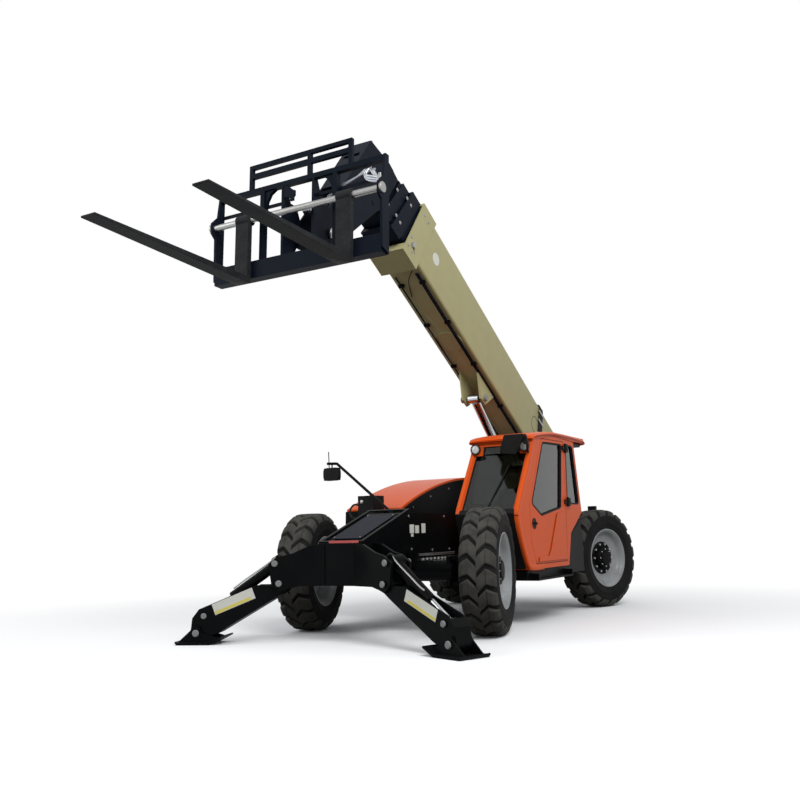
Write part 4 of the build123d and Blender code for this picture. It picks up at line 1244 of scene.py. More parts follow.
# ---- boom ----
@dataclass
class Boom:
    """Paint, slide pads' screws, hoses and sensors of the four boom sections and the head."""
    half_width: float = 0.215
    top: float = 0.268
    bottom: float = -0.442
    hose_pitch: float = 0.035     # between one side hose and the next
    pipe_rows: Numbers = (0.13, 0.155, -0.14)       # how far the pipes lie from the middle
    clamp_rows: Pair = (0.1425, -0.14)
    clamp_stations: Numbers = (1.2, 2.0, 2.9, 3.7, 4.4)
    lug_reach: float = 0.157
    head: PinHead = PinHead(0.045, 0.016, 0.024, 0.008)
    # name, body, distance from the middle plane, (forward, up) of each screw
    collars: tuple = (
        ("base_screws", "boom_first", 0.2275,
         ((4.83, 0.18), (4.73, 0.17), (4.94, -0.28), (4.84, -0.3), (4.95, -0.42), (4.85, -0.44))),
        ("second_screws", "boom_second", 0.1975,
         ((5.19, 0.09), (5.09, 0.08), (5.27, -0.28), (5.17, -0.29))),
        ("third_screws", "boom_third", 0.1695, ((5.36, 0.05), (5.42, -0.26))))
    cable: Points = (
        (4.86, -0.357, 0.225), (4.8, -0.42, 0.222), (4.72, -0.455, 0.19), (4.62, -0.462, 0.12),
        (4.5, -0.5, 0.02), (4.36, -0.462, -0.05), (4.2, -0.452, -0.1))
    sensor: Pairs = (
        (0.0, 0.0), (0.0, 0.034), (0.012, 0.036), (0.026, 0.03), (0.032, 0.016), (0.033, 0.0))
    disc: Pairs = ((0.0, 0.0), (0.0, 0.078), (0.0015, 0.078), (0.0015, 0.0))
    # outward, forward and up
    sensor_place: Point = (0.226, 4.874, -0.357)
    disc_place: Point = (0.2155, 4.375, -0.076)

    def build(self) -> None:
        """Makes the boom's pieces."""
        recut("boom_base", BEIGE, Edge.PLATE)
        recut_all(("boom_section_2", "boom_section_3", "boom_head"), NAVY, Edge.PLATE)
        self.screws()
        self.lines()
        self.fittings()

    def screws(self) -> None:
        """Screw heads and their washers on both sides of each collar."""
        for name, body, reach, places in self.collars:
            feet = np.array([(forward, up, reach) for forward, up in places])
            shapes = []
            for side in (1, -1):
                face = boom_basis().sided(side)
                shapes.append(studs(feet, 0.014, 0.009, face))
                shapes.append(studs(feet - (0, 0, 0.001), 0.021, 0.003, face, sides=16))
            make(name, merged(shapes), ZINC, body)

    def lines(self) -> None:
        """Hoses and pipes under the boom and at its rear end, with their clamps."""
        b = boom_basis()
        low = self.bottom - 0.02
        runs = [[(0.75, low, x), (1.6, low - 0.004, x), (2.6, low, x), (3.6, low - 0.004, x),
                 (4.55, low, x)] for x in self.pipe_rows]
        make("boom_pipes", hoses(runs, 0.01, b), NAVY, "boom_first")
        clamps = [(s, low + 0.004, x) for s in self.clamp_stations for x in self.clamp_rows]
        make("boom_clamps", blocks(clamps, (0.035, 0.034, 0.07), b), BLACK, "boom_first", Edge.FINE)
        edge = self.half_width + 0.012
        path = np.array([(0.8, -0.1, edge - 0.02), (0.81, -0.06, edge + 0.002),
                         (0.84, 0.05, edge + 0.002), (0.88, 0.2, edge + 0.002),
                         (0.9, self.top + 0.006, edge - 0.012),
                         (0.93, self.top + 0.012, edge - 0.07),
                         (1.02, self.top + 0.01, edge - 0.12)])
        bundle = [path + (self.hose_pitch * k, 0, 0) for k in range(4)]
        make("boom_side_hoses", hoses(bundle, 0.012, b), HOSE, "boom_first")
        clips = [(0.895, 0.05, edge + 0.001), (0.935, 0.18, edge + 0.001)]
        make("boom_hose_clips", blocks(clips, (0.17, 0.03, 0.028), b), ZINC, "boom_first",
             Edge.FINE)
        make("sensor_cable", hose(self.cable, 0.006, b), HOSE, "boom_first")

    def fittings(self) -> None:
        """The round sensor, the bare disc plate, the lift lug's pin heads and the oval line."""
        b = boom_basis()
        sensor = turned(self.sensor, b.axle().shifted(*self.sensor_place), 24)
        make("boom_sensor", sensor, ZINC, "boom_first")
        disc = turned(self.disc, b.axle().shifted(*self.disc_place), 40)
        make("boom_disc_plate", disc, LABEL, "boom_first")
        make("lift_pin_heads", self.head.pair(b, self.lug_reach, LIFT_EYE), PIN, "boom_first")
        outline = rounded([(0.42, -0.13), (0.8, -0.13), (0.8, 0.1), (0.42, 0.1)], 0.11)
        oval = band(outline, 0.008, 0.0, 0.0012, b.shifted(0.35, -0.06, self.half_width))
        make("boom_oval_line", oval, NAVY, "boom_first")


@dataclass
class Cylinders:
    """Paint and gland rings of the lift and tilt cylinders."""
    collar_length: float = 0.09
    lift_mouth: Pair = (1.82, 0.095)      # from the base pin to the barrel's mouth, its radius
    tilt_mouth: Pair = (0.7, 0.062)
    # along the axis, and out from the barrel's radius
    collar: Pairs = (
        (0.0, -0.002), (0.004, 0.012), (0.06, 0.012), (0.064, 0.006), (0.092, 0.004),
        (0.094, -0.012), (0.09, -0.014), (0.0, -0.014), (0.0, -0.002))

    def gland(self, name: str, body: str, start: Array, end: Array, reach: float,
              radius: float) -> None:
        """A collar at the barrel's mouth.

        Args:
            name: the piece's name.
            body: the body that carries the barrel.
            start: the base pin in the machine's frame.
            end: the rod's eye.
            reach: distance from the base pin to the mouth.
            radius: the barrel's radius.
        """
        way = (end - start) / np.linalg.norm(end - start)
        across = np.array([1.0, 0, 0])
        basis = Basis(tuple(start + way * (reach - self.collar_length)), tuple(way), tuple(across),
                      tuple(np.cross(way, across)))
        profile = [(along_axis, radius + out) for along_axis, out in self.collar]
        make(name, turned(profile, basis, 40), BLACK, body, smooth_angle=30)

    def build(self) -> None:
        """Makes the cylinders' pieces."""
        boom, side, carriage = boom_basis(), side_basis(), carriage_basis()
        self.gland("lift_gland", "lift_cylinder", side.at((*LIFT_BASE, 0.0)),
                   boom.at((*LIFT_EYE, 0.0)), *self.lift_mouth)
        self.gland("tilt_gland", "tilt_cylinder", boom.at((*TILT_BASE, 0.0)),
                   carriage.at((*TILT_EYE, 0.0)), *self.tilt_mouth)
        recut("lift_barrel", BLACK, Edge.FINE)
        recut("tilt_barrel", NAVY, Edge.FINE)
        recut_all(("lift_rod", "tilt_rod"), CHROME, Edge.FINE)


# ---- carriage and forks ----
@dataclass
class Carriage:
    """The fork carriage, its shaft and hoses, and the two forks."""
    half_width: float = 0.985
    shaft: Pair = (0.355, 0.167)
    shaft_radius: float = 0.0312
    shaft_chamfer: float = 0.004
    body: str = "fork_carriage"
    shaft_cap: PinHead = PinHead(0.05, 0.018, 0.026, 0.012)
    tilt_head: PinHead = PinHead(0.055, 0.02, 0.027, 0.009)
    tilt_reach: float = 0.2055
    hook: Pairs = (
        (-0.165, 0.47), (-0.13, 0.47), (-0.06, 0.41), (-0.035, 0.4), (-0.035, 0.35), (-0.05, 0.335),
        (-0.05, 0.3), (-0.09, 0.3), (-0.09, 0.335), (-0.13, 0.345), (-0.165, 0.345))
    # how far from the post and how high
    gusset: Pairs = ((0.0, 0.475), (0.13, 0.475), (0.06, 0.43), (0.02, 0.36), (0.0, 0.26))
    post: float = 0.4

    def build(self) -> None:
        """Makes the carriage's pieces."""
        recut("carriage", NAVY, Edge.PLATE)
        recut_all(("fork_left", "fork_right"), FORK, Edge.PLATE)
        c = carriage_basis()
        reach = self.half_width + 0.02
        crown, step = self.shaft_radius - self.shaft_chamfer, reach - self.shaft_chamfer
        sleeve = [(-reach, 0.0), (-reach, crown), (-step, self.shaft_radius),
                  (step, self.shaft_radius), (reach, crown), (reach, 0.0)]
        make("carriage_shaft", turned(sleeve, c.axle().shifted(0, *self.shaft), 32), ZINC,
             self.body, smooth_angle=40)
        make("shaft_caps", self.shaft_cap.pair(c, self.half_width, self.shaft), ZINC, self.body)
        self.lines()
        self.plates()
        make("tilt_pin_heads", self.tilt_head.pair(c, self.tilt_reach, (0, 0)), ZINC, "boom_fourth")

    def lines(self) -> None:
        """Braided hoses that loop from the left side plate to the middle, behind the forks' way."""
        c = carriage_basis()
        loops = [[(0.3, 0.262 + 0.012 * k, 0.945), (0.285, 0.3 + 0.008 * k, 0.9),
                  (0.268, 0.355 + 0.02 * k, 0.85), (0.256 - 0.006 * k, 0.42, 0.8 + 0.02 * k),
                  (0.215, 0.45 - 0.012 * k, 0.72), (0.2, 0.41, 0.62),
                  (0.19, 0.36, 0.45 - 0.02 * k), (0.17, 0.3, 0.27)] for k in range(3)]
        loops += [[(0.305, 0.255 + 0.016 * k, 0.94), (0.3, 0.275 + 0.02 * k, 0.86 + 0.01 * k),
                   (0.285, 0.32 + 0.02 * k, 0.78), (0.262, 0.4 + 0.01 * k, 0.75 + 0.02 * k),
                   (0.235, 0.455, 0.8)] for k in range(3)]
        make("carriage_hoses", hoses(loops, 0.01, c), BRAID, self.body)
        make("hose_collar", blocks((0.305, 0.28, 0.953), (0.07, 0.085, 0.03), c), ZINC, self.body,
             Edge.PLATE)

    def plates(self) -> None:
        """The curved gussets under the top rail and the hooked bracket beside the middle."""
        face = carriage_basis().crossways()
        gussets = [slab([((reach - self.post) * way, up) for reach, up in self.gusset], 0.23, 0.27,
                        face) for way in (1, -1)]
        make("post_gussets", merged(gussets), NAVY, self.body, Edge.FINE)
        make("hook_bracket", slab(self.hook, 0.262, 0.282, face), NAVY, self.body, Edge.FINE)


# ---- chassis ----
@dataclass
class Chassis:
    """Frame, nose deck, counterweight, labels without words, valve fittings and hoses."""
    half_width: float = 0.255
    deck_front: Pair = (-1.05, 0.947)     # station and height of the sloped deck's ends
    deck_rear: Pair = (-0.2, 1.238)
    body: str = "chassis"
    # station, height, width, height of each blank plate
    plates: Sequence[Numbers] = (
        (-0.08, 1.07, 0.09, 0.09), (0.03, 1.065, 0.08, 0.08), (0.17, 1.075, 0.085, 0.1),
        (-0.075, 1.005, 0.05, 0.03))
    plate_thick: float = 0.0016
    bolts: Points = (
        (-0.148, 1.2, 0), (0.643, 1.2, 0), (-0.1, 0.86, 0), (0.35, 0.84, 0), (0.75, 0.84, 0))
    valve_count: int = 9
    valve_pitch: float = 0.085
    # distance from the middle plane, place, head
    pins: tuple = (
        (0.275, LIFT_BASE, PinHead(0.05, 0.016, 0.024, 0.01)),
        (0.3, LIFT_PIN, PinHead(0.06, 0.016, 0.024, 0.01)))

    def build(self) -> None:
        """Makes the chassis' pieces."""
        recut_all(("frame", "outrigger_frame", "front_axle", "rear_axle"), BLACK, Edge.PLATE)
        recut_all(("counterweight", "side_tank"), BLACK, Edge.ROUND)
        recut_all(tuple(f"knuckle_{name}" for name, *_ in WHEELS), BLACK, Edge.FINE)
        recut("engine_block", IRON, Edge.FINE)
        self.deck()
        self.labels()
        self.valves()
        shapes = [head.pair(side_basis(), reach, place) for reach, place, head in self.pins]
        make("frame_pin_heads", merged(shapes), ZINC, self.body)

    def deck(self) -> None:
        """The raised border round the nose deck, its cover plate and the red strip before it."""
        s = side_basis()
        run, rise = (b - a for a, b in zip(self.deck_front, self.deck_rear))
        turn = math.atan2(rise, run)
        slope = Basis(s.shifted(*self.deck_front, 0.0).origin, (0, math.cos(turn), math.sin(turn)),
                      (1, 0, 0), (0, -math.sin(turn), math.cos(turn)))
        length = run / math.cos(turn)
        width, end = self.half_width, length + 0.1
        border = band([(0.02, -width), (end, -width), (end, width), (0.02, width)],
                      0.035, 0.0, 0.012, slope)
        make("deck_border", border, BLACK, self.body, Edge.FINE)
        end = length - 0.06
        cover = slab([(0.12, -0.17), (end, -0.17), (end, 0.17), (0.12, 0.17)], 0.0, 0.006, slope)
        make("deck_cover", cover, NAVY, self.body, Edge.FINE)
        screws = [(a, c, 0.006) for a in (0.15, length - 0.09) for c in (-0.15, 0.15)]
        make("deck_screws", studs(screws, 0.009, 0.006, slope), ZINC, self.body)
        strip = [(-1.053, 0.949), (-1.0495, 0.949), (-1.0495, 0.973), (-1.053, 0.973)]
        make("red_strip", slab(strip, -0.12, 0.22, s), RED, self.body)

    def labels(self) -> None:
        """Blank label plates and bolts on the frame's side."""
        s = side_basis(self.half_width)
        centres = [(station, up, self.plate_thick / 2) for station, up, _, _ in self.plates]
        sizes = [(wide, high, self.plate_thick) for _, _, wide, high in self.plates]
        make("blank_labels", blocks(centres, sizes, s), LABEL, self.body)
        make("frame_bolts", studs(self.bolts, 0.015, 0.012, s), ZINC, self.body)

    def valves(self) -> None:
        """The row of valve fittings under the frame and the hoses that leave it."""
        s = side_basis()
        block = blocks((0.39, 0.735, 0.19), (0.86, 0.1, 0.16), s)
        make("valve_block", block, BLACK, self.body, Edge.PLATE)
        stations = [0.03 + self.valve_pitch * k for k in range(self.valve_count)]
        fittings = studs([(a, 0.745, 0.27) for a in stations], 0.024, 0.07, s, sides=12)
        make("valve_fittings", fittings, ZINC, self.body)
        rail = [(a, 0.8, 0.3) for a in (-0.02, 0.35, 0.78)]
        make("valve_rail", hose(rail, 0.013, s), ZINC, self.body)
        runs = [[(a, 0.72, 0.3), (a + 0.01, 0.715, 0.345), (a + 0.05, 0.67, 0.37),
                 (a + 0.12, 0.6, 0.33), (a + 0.2, 0.58, 0.22), (a + 0.3, 0.6, 0.12)]
                for a in stations[::2]]
        make("valve_hoses", hoses(runs, 0.011, s), HOSE, self.body)


# ---- outriggers ----
@dataclass
class Outrigger:
    """One outrigger: painted leg, pad and cylinder with pins, labels and pipe."""
    side: int
    half_width: float = 0.09
    lug_reach: float = 0.1365     # half the leg, its gap, the lug's plate and the pin's end
    leg_pin: Pair = (-0.015, 0.574)
    ram_pin: Pair = (0.025, 0.766)
    ram_eye: Pair = (0.76, 0.271)
    pad_pin: Pair = (0.835, 0.108)
    label_foot: Pair = (0.3, 0.47)
    label_run: Pair = (0.581, -0.224)     # outward and up along the leg's upper face
    # along the leg, across it, length, width, thickness, finish of each label
    labels: tuple = (
        (0.17, 0.0, 0.44, 0.11, 0.0012, LABEL), (0.19, -0.036, 0.39, 0.028, 0.0018, YELLOW))
    pipe: Points = (
        (0.03, 0.835, 0.045), (0.1, 0.775, 0.062), (0.3, 0.645, 0.064), (0.42, 0.565, 0.062),
        (0.47, 0.532, 0.05))
    supply: Points = (
        (-0.12, 0.7, 0.05), (-0.06, 0.8, 0.055), (0.0, 0.845, 0.05), (0.05, 0.82, 0.045))

    @property
    def name(self) -> str:
        """Which side of the machine it is on."""
        return "left" if self.side > 0 else "right"

    def build(self) -> None:
        """Makes the outrigger's pieces."""
        leg, name = leg_basis(self.side), self.name
        for node, finish in (("leg", BLACK), ("pad", BLACK), ("barrel", BLACK), ("rod", CHROME)):
            recut(f"outrigger_{node}_{name}", finish, Edge.FINE)
        leg_body, pad_body, barrel_body = (f"outrigger_{part}_{name}_body"
                                           for part in ("leg", "pad", "barrel"))
        for pin, place, reach, radius, body in (
                ("leg_pin", self.leg_pin, self.lug_reach, 0.031, "chassis"),
                ("ram_pin", self.ram_pin, self.lug_reach, 0.031, "chassis"),
                ("ram_eye", self.ram_eye, self.half_width + 0.0095, 0.029, leg_body),
                ("pad_pin", self.pad_pin, self.half_width + 0.0285, 0.034, pad_body)):
            heads = PinHead(radius, 0.01, 0.016, 0.006, 24).pair(leg, reach, place)
            make(f"{pin}_heads_{name}", heads, PIN, body)
        slope = math.atan2(self.label_run[1], self.label_run[0])
        first, second = np.array(leg.first), np.array(leg.second)
        face = Basis(leg.shifted(*self.label_foot, self.half_width).origin,
                     tuple(first * math.cos(slope) + second * math.sin(slope)),
                     tuple(second * math.cos(slope) - first * math.sin(slope)), leg.third)
        for count, (a, b, wide, high, thick, finish) in enumerate(self.labels):
            plate = blocks((a, b, thick / 2), (wide, high, thick), face)
            make(f"leg_label_{count}_{name}", plate, finish, leg_body)
        make(f"ram_pipe_{name}", hose(self.pipe, 0.008, leg), ZINC, barrel_body)
        make(f"ram_hose_{name}", hose(self.supply, 0.01, leg), HOSE, "chassis")


# ---- cab ----
@dataclass
class Cab:
    """The cab on the machine's left: shell, door, panes, fittings, seat and controls."""
    outer: float = 1.16
    inner: float = 0.42
    middle: float = 0.79
    body: str = "chassis"
    door_body: str = "cab_door"
    wall: float = 0.045
    pane_thick: float = 0.006
    pane_gap: float = 0.001
    cut: Pair = (-0.08, 0.02)     # a cutter's two faces, from the cab's outer face
    frame_inset: float = 0.061    # from the cab's faces to the wide panes' ends
    header_inset: Pair = (0.145, 0.135)   # the same for the windscreen's upper part
    pane_depth: float = 0.025     # from the outer face to the glass
    # outlines as (station, height), with a radius for each corner
    window: Pairs = ((1.425, 2.03), (1.005, 1.312), (1.3, 1.18), (1.935, 1.275), (2.05, 2.045))
    window_radii: Numbers = (0.075, 0.06, 0.04, 0.05, 0.05)
    quarter: Pairs = ((2.18, 2.05), (2.435, 2.05), (2.585, 1.325), (2.15, 1.325))
    quarter_pane: Pairs = ((2.181, 2.049), (2.434, 2.049), (2.583, 1.326), (2.152, 1.326))
    quarter_radii: Numbers = (0.004, 0.07, 0.06, 0.004)
    quarter_gasket_radii: Numbers = (0.03, 0.07, 0.06, 0.03)
    inner_window: Pairs = ((1.3, 2.0), (0.9, 1.32), (2.4, 1.32), (2.33, 2.0))
    inner_pane: Pairs = ((1.301, 1.999), (0.902, 1.321), (2.399, 1.321), (2.329, 1.999))
    rear_pane: Pairs = ((2.62, 1.331), (2.626, 1.331), (2.486, 1.999), (2.48, 1.999))
    door_edge: Pairs = (
        (1.39, 2.06), (0.955, 1.31), (0.965, 0.9), (1.09, 0.655), (2.08, 0.655), (2.12, 2.075))
    door_radii: Numbers = (0.07, 0.1, 0.1, 0.09, 0.03, 0.03)
    header: Pairs = ((0.95, 1.86), (1.135, 1.86), (1.149, 1.984), (0.95, 1.984))
    hinge_station: float = 2.137
    hinge_x: float = 1.18
    hinge_heights: Pair = (2.0, 1.35)
    hinge_eye: Pairs = (
        (-0.0275, 0.0085), (-0.0275, 0.0155), (0.0275, 0.0155), (0.0275, 0.0085), (-0.0275, 0.0085))
    hinge_cap: Pairs = (
        (-0.056, 0.0), (-0.056, 0.013), (-0.051, 0.016), (0.051, 0.016), (0.056, 0.013),
        (0.056, 0.0))
    hinge_top: float = 2.06       # the shell's hinge plates lie below this
    skin: float = 0.0005          # and this far past its face
    screen_foot: Pair = (0.655, 1.241)
    screen_bend: Pair = (1.092, 1.889)
    screen_head: Pair = (1.117, 1.983)
    tube: Pair = (0.026, 0.036)
    tube_inset: float = 0.021
    squareness: float = 0.55      # power of cosine and sine in a tube's section, 1 for round
    pillar: Pairs = (
        (1.3, 0.618), (1.02, 0.618), (0.905, 0.645), (0.83, 0.74), (0.728, 0.925), (0.655, 1.1),
        (0.638, 1.205), (0.675, 1.28), (0.86, 1.552), (1.045, 1.822), (1.105, 1.925), (1.135, 2.01),
        (1.2, 2.055), (1.32, 2.083))
    roof: Pairs = (
        (1.075, 2.03), (1.115, 2.062), (1.25, 2.09), (1.5, 2.122), (1.78, 2.143), (2.2, 2.147),
        (2.6, 2.141), (2.82, 2.128), (2.865, 2.108))
    roof_section: Pair = (0.398, 0.034)
    under_roof: Pairs = ((2.53, 2.035), (2.8, 2.058), (2.835, 2.1), (2.52, 2.1))
    front_sheet: Pairs = (
        (0.878, 0.606), (0.692, 0.918), (0.601, 1.208), (0.634, 1.256), (0.65, 1.25), (0.62, 1.208),
        (0.708, 0.925), (0.892, 0.61))
    cowl: Pairs = ((0.64, 1.19), (0.7005, 1.2375), (0.672, 1.2375), (0.618, 1.205))
    wedge: Pairs = (
        (1.78, 1.215), (2.055, 1.235), (2.058, 0.672), (1.135, 0.672), (1.16, 0.722), (1.45, 0.735),
        (1.52, 0.8))
    dish: Pairs = (
        (0.0005, 0.0), (0.0005, 0.05), (0.0035, 0.052), (0.0035, 0.06), (0.0, 0.062), (-0.002, 0.0))
    handle: Points = (
        (1.03, 1.105, 0.004), (1.04, 1.105, 0.026), (1.064, 1.1, 0.03), (1.09, 1.093, 0.026),
        (1.098, 1.091, 0.004))
    lamp_bowl: Pairs = (
        (0.0, 0.0), (0.0, 0.046), (0.046, 0.06), (0.056, 0.06), (0.056, 0.052), (0.05, 0.049),
        (0.05, 0.0))
    lamp_lens: Pairs = (
        (0.0505, 0.0), (0.0505, 0.0485), (0.053, 0.0475), (0.058, 0.03), (0.06, 0.0))
    wiper_arm: Points = (
        (0.7, 1.275, 0.79), (0.69, 1.3, 0.79), (0.8, 1.465, 0.84), (0.88, 1.585, 0.875))
    wiper_blade: Points = ((0.77, 1.43, 0.83), (0.88, 1.59, 0.878), (0.985, 1.745, 0.92))
    # the left mirror's outlines as (outward, height)
    mirror_plate: Pairs = ((0.901, 2.086), (0.834, 1.883), (1.036, 1.861), (1.152, 2.084))
    mirror_glass: Pairs = ((0.915, 2.07), (0.856, 1.9), (1.026, 1.88), (1.128, 2.068))
    mirror_arm: Points = (
        (1.1, 2.045, 1.1), (1.03, 2.078, 1.11), (0.965, 2.06, 1.145), (0.945, 1.995, 1.165),
        (0.96, 1.925, 1.16), (1.02, 1.885, 1.145))
    mirror_rod: Points = ((0.945, 2.02, 1.05), (1.0, 2.03, 1.08), (1.1, 2.035, 1.09))
    mirror_clamps: Points = ((0.955, 1.99, 1.15), (0.96, 2.045, 1.12))
    seat_base: Pairs = ((1.74, 0.66), (2.04, 0.66), (2.1, 1.0), (1.7, 1.0))
    back_lean: Pair = (0.13, 0.61)        # how far back the seat's back goes, and up

    @property
    def out(self) -> Basis:
        """Local (station, height, outward) from the cab's outer face."""
        return side_basis(self.outer)

    @property
    def window_loop(self) -> list[Pair]:
        """The door window's rounded outline."""
        return rounded(self.window, self.window_radii)

    @property
    def door_loop(self) -> list[Pair]:
        """The door's rounded outline."""
        return rounded(self.door_edge, self.door_radii)

    def build(self) -> None:
        """Makes the cab's pieces."""
        inner, outer = self.inner + self.header_inset[0], self.outer - self.header_inset[1]
        header = slab(self.header, inner, outer, side_basis())
        quarter = slab(rounded(self.quarter, self.quarter_radii), *self.cut, self.out)
        shell = recut("cab_shell", ORANGE, Edge.CAST, cutters=[header, quarter])
        shell.data.materials.append(PLASTIC.material())
        for face in shell.data.polygons:
            x, _, z = face.center
            face.material_index = int(x > self.outer + self.skin and z < self.hinge_top)
        self.door()
        self.panes()
        recut("steering_console", PLASTIC, Edge.CAST)
        self.gaskets()
        self.door_fittings()
        self.frame_tubes()
        self.seat()
        self.front()
        self.left_mirror()

    def door(self) -> None:
        """The door's leaf with its rounded window, and its hinge arms."""
        out = self.out
        leaf = mesh_of("door leaf", slab(self.door_loop, -self.wall, 0.0, out))
        mesh = carve(leaf, [slab(self.window_loop, *self.cut, out)])
        stand_in("door", "door_leaf", mesh, ORANGE, self.door_body, Edge.PLATE)
        shapes = []
        for height in self.hinge_heights:
            arms = [(self.hinge_station - 0.0625, height, 0.004),
                    (self.hinge_station - 0.032, height, 0.0095)]
            shapes.append(blocks(arms, [(0.045, 0.052, 0.028), (0.056, 0.052, 0.013)], out))
            axis = out.upright(self.hinge_station, height, self.hinge_x - self.outer)
            shapes.append(turned(self.hinge_eye, axis, 24))
        make("door_hinge_arms", merged(shapes), PLASTIC, self.door_body)

    def panes(self) -> None:
        """The door's pane, and the windscreen, rear, quarter and inner panes."""
        s, thick = side_basis(), self.pane_thick
        near, far = self.inner + self.frame_inset, self.outer - self.frame_inset
        glass = self.outer - self.pane_depth
        pane = slab(inset(self.window_loop, self.pane_gap), glass, glass + thick, s)
        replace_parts(make("door_pane", pane, GLAZING, self.door_body), "door_glass")
        foot, head = self.screen_foot, self.screen_head
        bend = (self.screen_bend[0], self.screen_bend[1] - 0.01)
        sheets = ((near, far, [foot, (foot[0] + thick, foot[1]), (bend[0] + thick, bend[1]), bend]),
                  (self.inner + 0.147, self.outer - 0.137,
                   [bend, (bend[0] + thick, bend[1]), (head[0] + thick, head[1]), head]),
                  (near, far, self.rear_pane),
                  (glass, glass + thick, rounded(self.quarter_pane, self.quarter_radii)),
                  (self.inner + 0.015, self.inner + 0.021, self.inner_pane))
        panes = merged([slab(outline, low, high, s) for low, high, outline in sheets])
        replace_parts(make("cab_panes", panes, GLAZING, self.body), "cab_glass")

    def gaskets(self) -> None:
        """Rubber round every pane."""
        quarter = rounded(self.quarter, self.quarter_gasket_radii)
        for name, body, band_of in (
                ("door_gasket", self.door_body,
                 (self.window_loop, 0.016, -0.03, 0.0035, self.out)),
                ("quarter_gasket", self.body, (quarter, 0.018, -0.03, 0.0035, self.out)),
                ("inner_gasket", self.body,
                 (self.inner_window, 0.016, -0.0035, 0.03, side_basis(self.inner)))):
            make(name, band(*band_of), GASKET, body, Edge.FINE)
        s = side_basis()
        near, far = self.inner + 0.064, self.outer - 0.064
        step_near, step_far = self.inner + 0.15, self.outer - 0.14
        foot, bend, head = self.screen_foot, self.screen_bend, self.screen_head
        ring = [(*foot, near), (*bend, near), (*bend, step_near), (*head, step_near),
                (*head, step_far), (*bend, step_far), (*bend, far), (*foot, far), (*foot, near)]
        make("windscreen_gasket", bars(ring, 0.008, s), GASKET, self.body)
        low, high = (2.622, 1.335), (2.482, 1.995)
        ring = [(*low, near), (*high, near), (*high, far), (*low, far), (*low, near)]
        make("rear_gasket", bars(ring, 0.009, s), GASKET, self.body)

    def tube_shape(self, line: Pairs, x: float, section: Pair) -> Shape:
        """A rounded square tube along a line in a plane of equal x.

        Formula: section = size * sign * |cosine or sine| to the power of its squareness.

        Args:
            line: points (station, height).
            x: the plane, outward from the machine's middle.
            section: half its width and half its depth.

        Returns:
            The closed shape.
        """
        turn = circle(1.0, 20)
        box = np.sign(turn) * np.abs(turn) ** self.squareness
        path = smooth_path([(station, height, x) for station, height in line], 6)
        return along(side_basis().at(path), box * section)

    def frame_tubes(self) -> None:
        """The tubes along the front pillars, the roof's rounded edge and the black front panel."""
        for name, line, x, section in (
                ("pillar_outer", self.pillar, self.outer - self.tube_inset, self.tube),
                ("pillar_inner", self.pillar[6:-1], self.inner + self.tube_inset, self.tube),
                ("roof_cap", self.roof, self.middle, self.roof_section)):
            make(name, self.tube_shape(line, x, section), ORANGE, self.body, smooth_angle=60)
        under = slab(self.under_roof, self.inner + 0.04, self.outer - 0.02, side_basis())
        make("roof_underside", under, PLASTIC, self.body, Edge.CAST)
        sheet = slab(self.front_sheet, self.inner + 0.004, self.outer - 0.045, side_basis())
        make("front_panel", sheet, PLASTIC, self.body, Edge.FINE)

    def left_mirror(self) -> None:
        """The mirror that hangs from the roof's outer front corner, with glass and bracket."""
        s = side_basis()
        face = s.crossways()
        shell = slab(rounded(self.mirror_plate, 0.022), 0.918, 0.95, face)
        make("mirror_left_shell", shell, PLASTIC, self.body, Edge.PLATE)
        glass = slab(rounded(self.mirror_glass, 0.02), 0.9502, 0.952, face)
        make("mirror_left_glass", glass, MIRROR, self.body)
        arm = hose(self.mirror_arm, 0.013, s) + hose(self.mirror_rod, 0.012, s)
        make("mirror_left_arm", arm, PLASTIC, self.body)
        make("mirror_left_clamps", blocks(self.mirror_clamps, (0.05, 0.045, 0.05), s), PLASTIC,
             self.body, Edge.PLATE)

    def door_fittings(self) -> None:
        """Handle dish and handle, the raised wedge below the window, the seal and hinge caps."""
        out, body = self.out, self.door_body
        dish = turned(self.dish, out.axle().shifted(0, 1.064, 1.096), 36)
        make("door_dish", dish, PLASTIC, body, smooth_angle=40)
        make("door_handle", hose(self.handle, 0.008, out), PLASTIC, body)
        make("door_wedge", slab(rounded(self.wedge, 0.012), -0.002, 0.012, out), ORANGE, body,
             Edge.CAST)
        make("door_seal", band(self.door_loop, -0.006, -0.02, -0.002, out), GASKET, self.body)
        for name, height in zip(("hinge_cap_top", "hinge_cap_low"), self.hinge_heights):
            cap = turned(self.hinge_cap, out.upright(self.hinge_station, height, 0.02), 20)
            make(name, cap, PLASTIC, self.body)

    def seat(self) -> None:
        """A padded seat with its back, in cloth, and its base."""
        s = side_basis(self.middle)
        self.pad("seat_cushion", s.shifted(1.66, 1.012, 0), 0.0, (0.45, 0.44, 0.095))
        lean = math.atan2(self.back_lean[1], self.back_lean[0])
        self.pad("seat_back", s.shifted(2.155, 1.105, 0), lean, (0.6, 0.44, 0.085))
        base = make("seat_base", slab(self.seat_base, -0.16, 0.16, s), PLASTIC, self.body,
                    Edge.CAST)
        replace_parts(base, "seat")

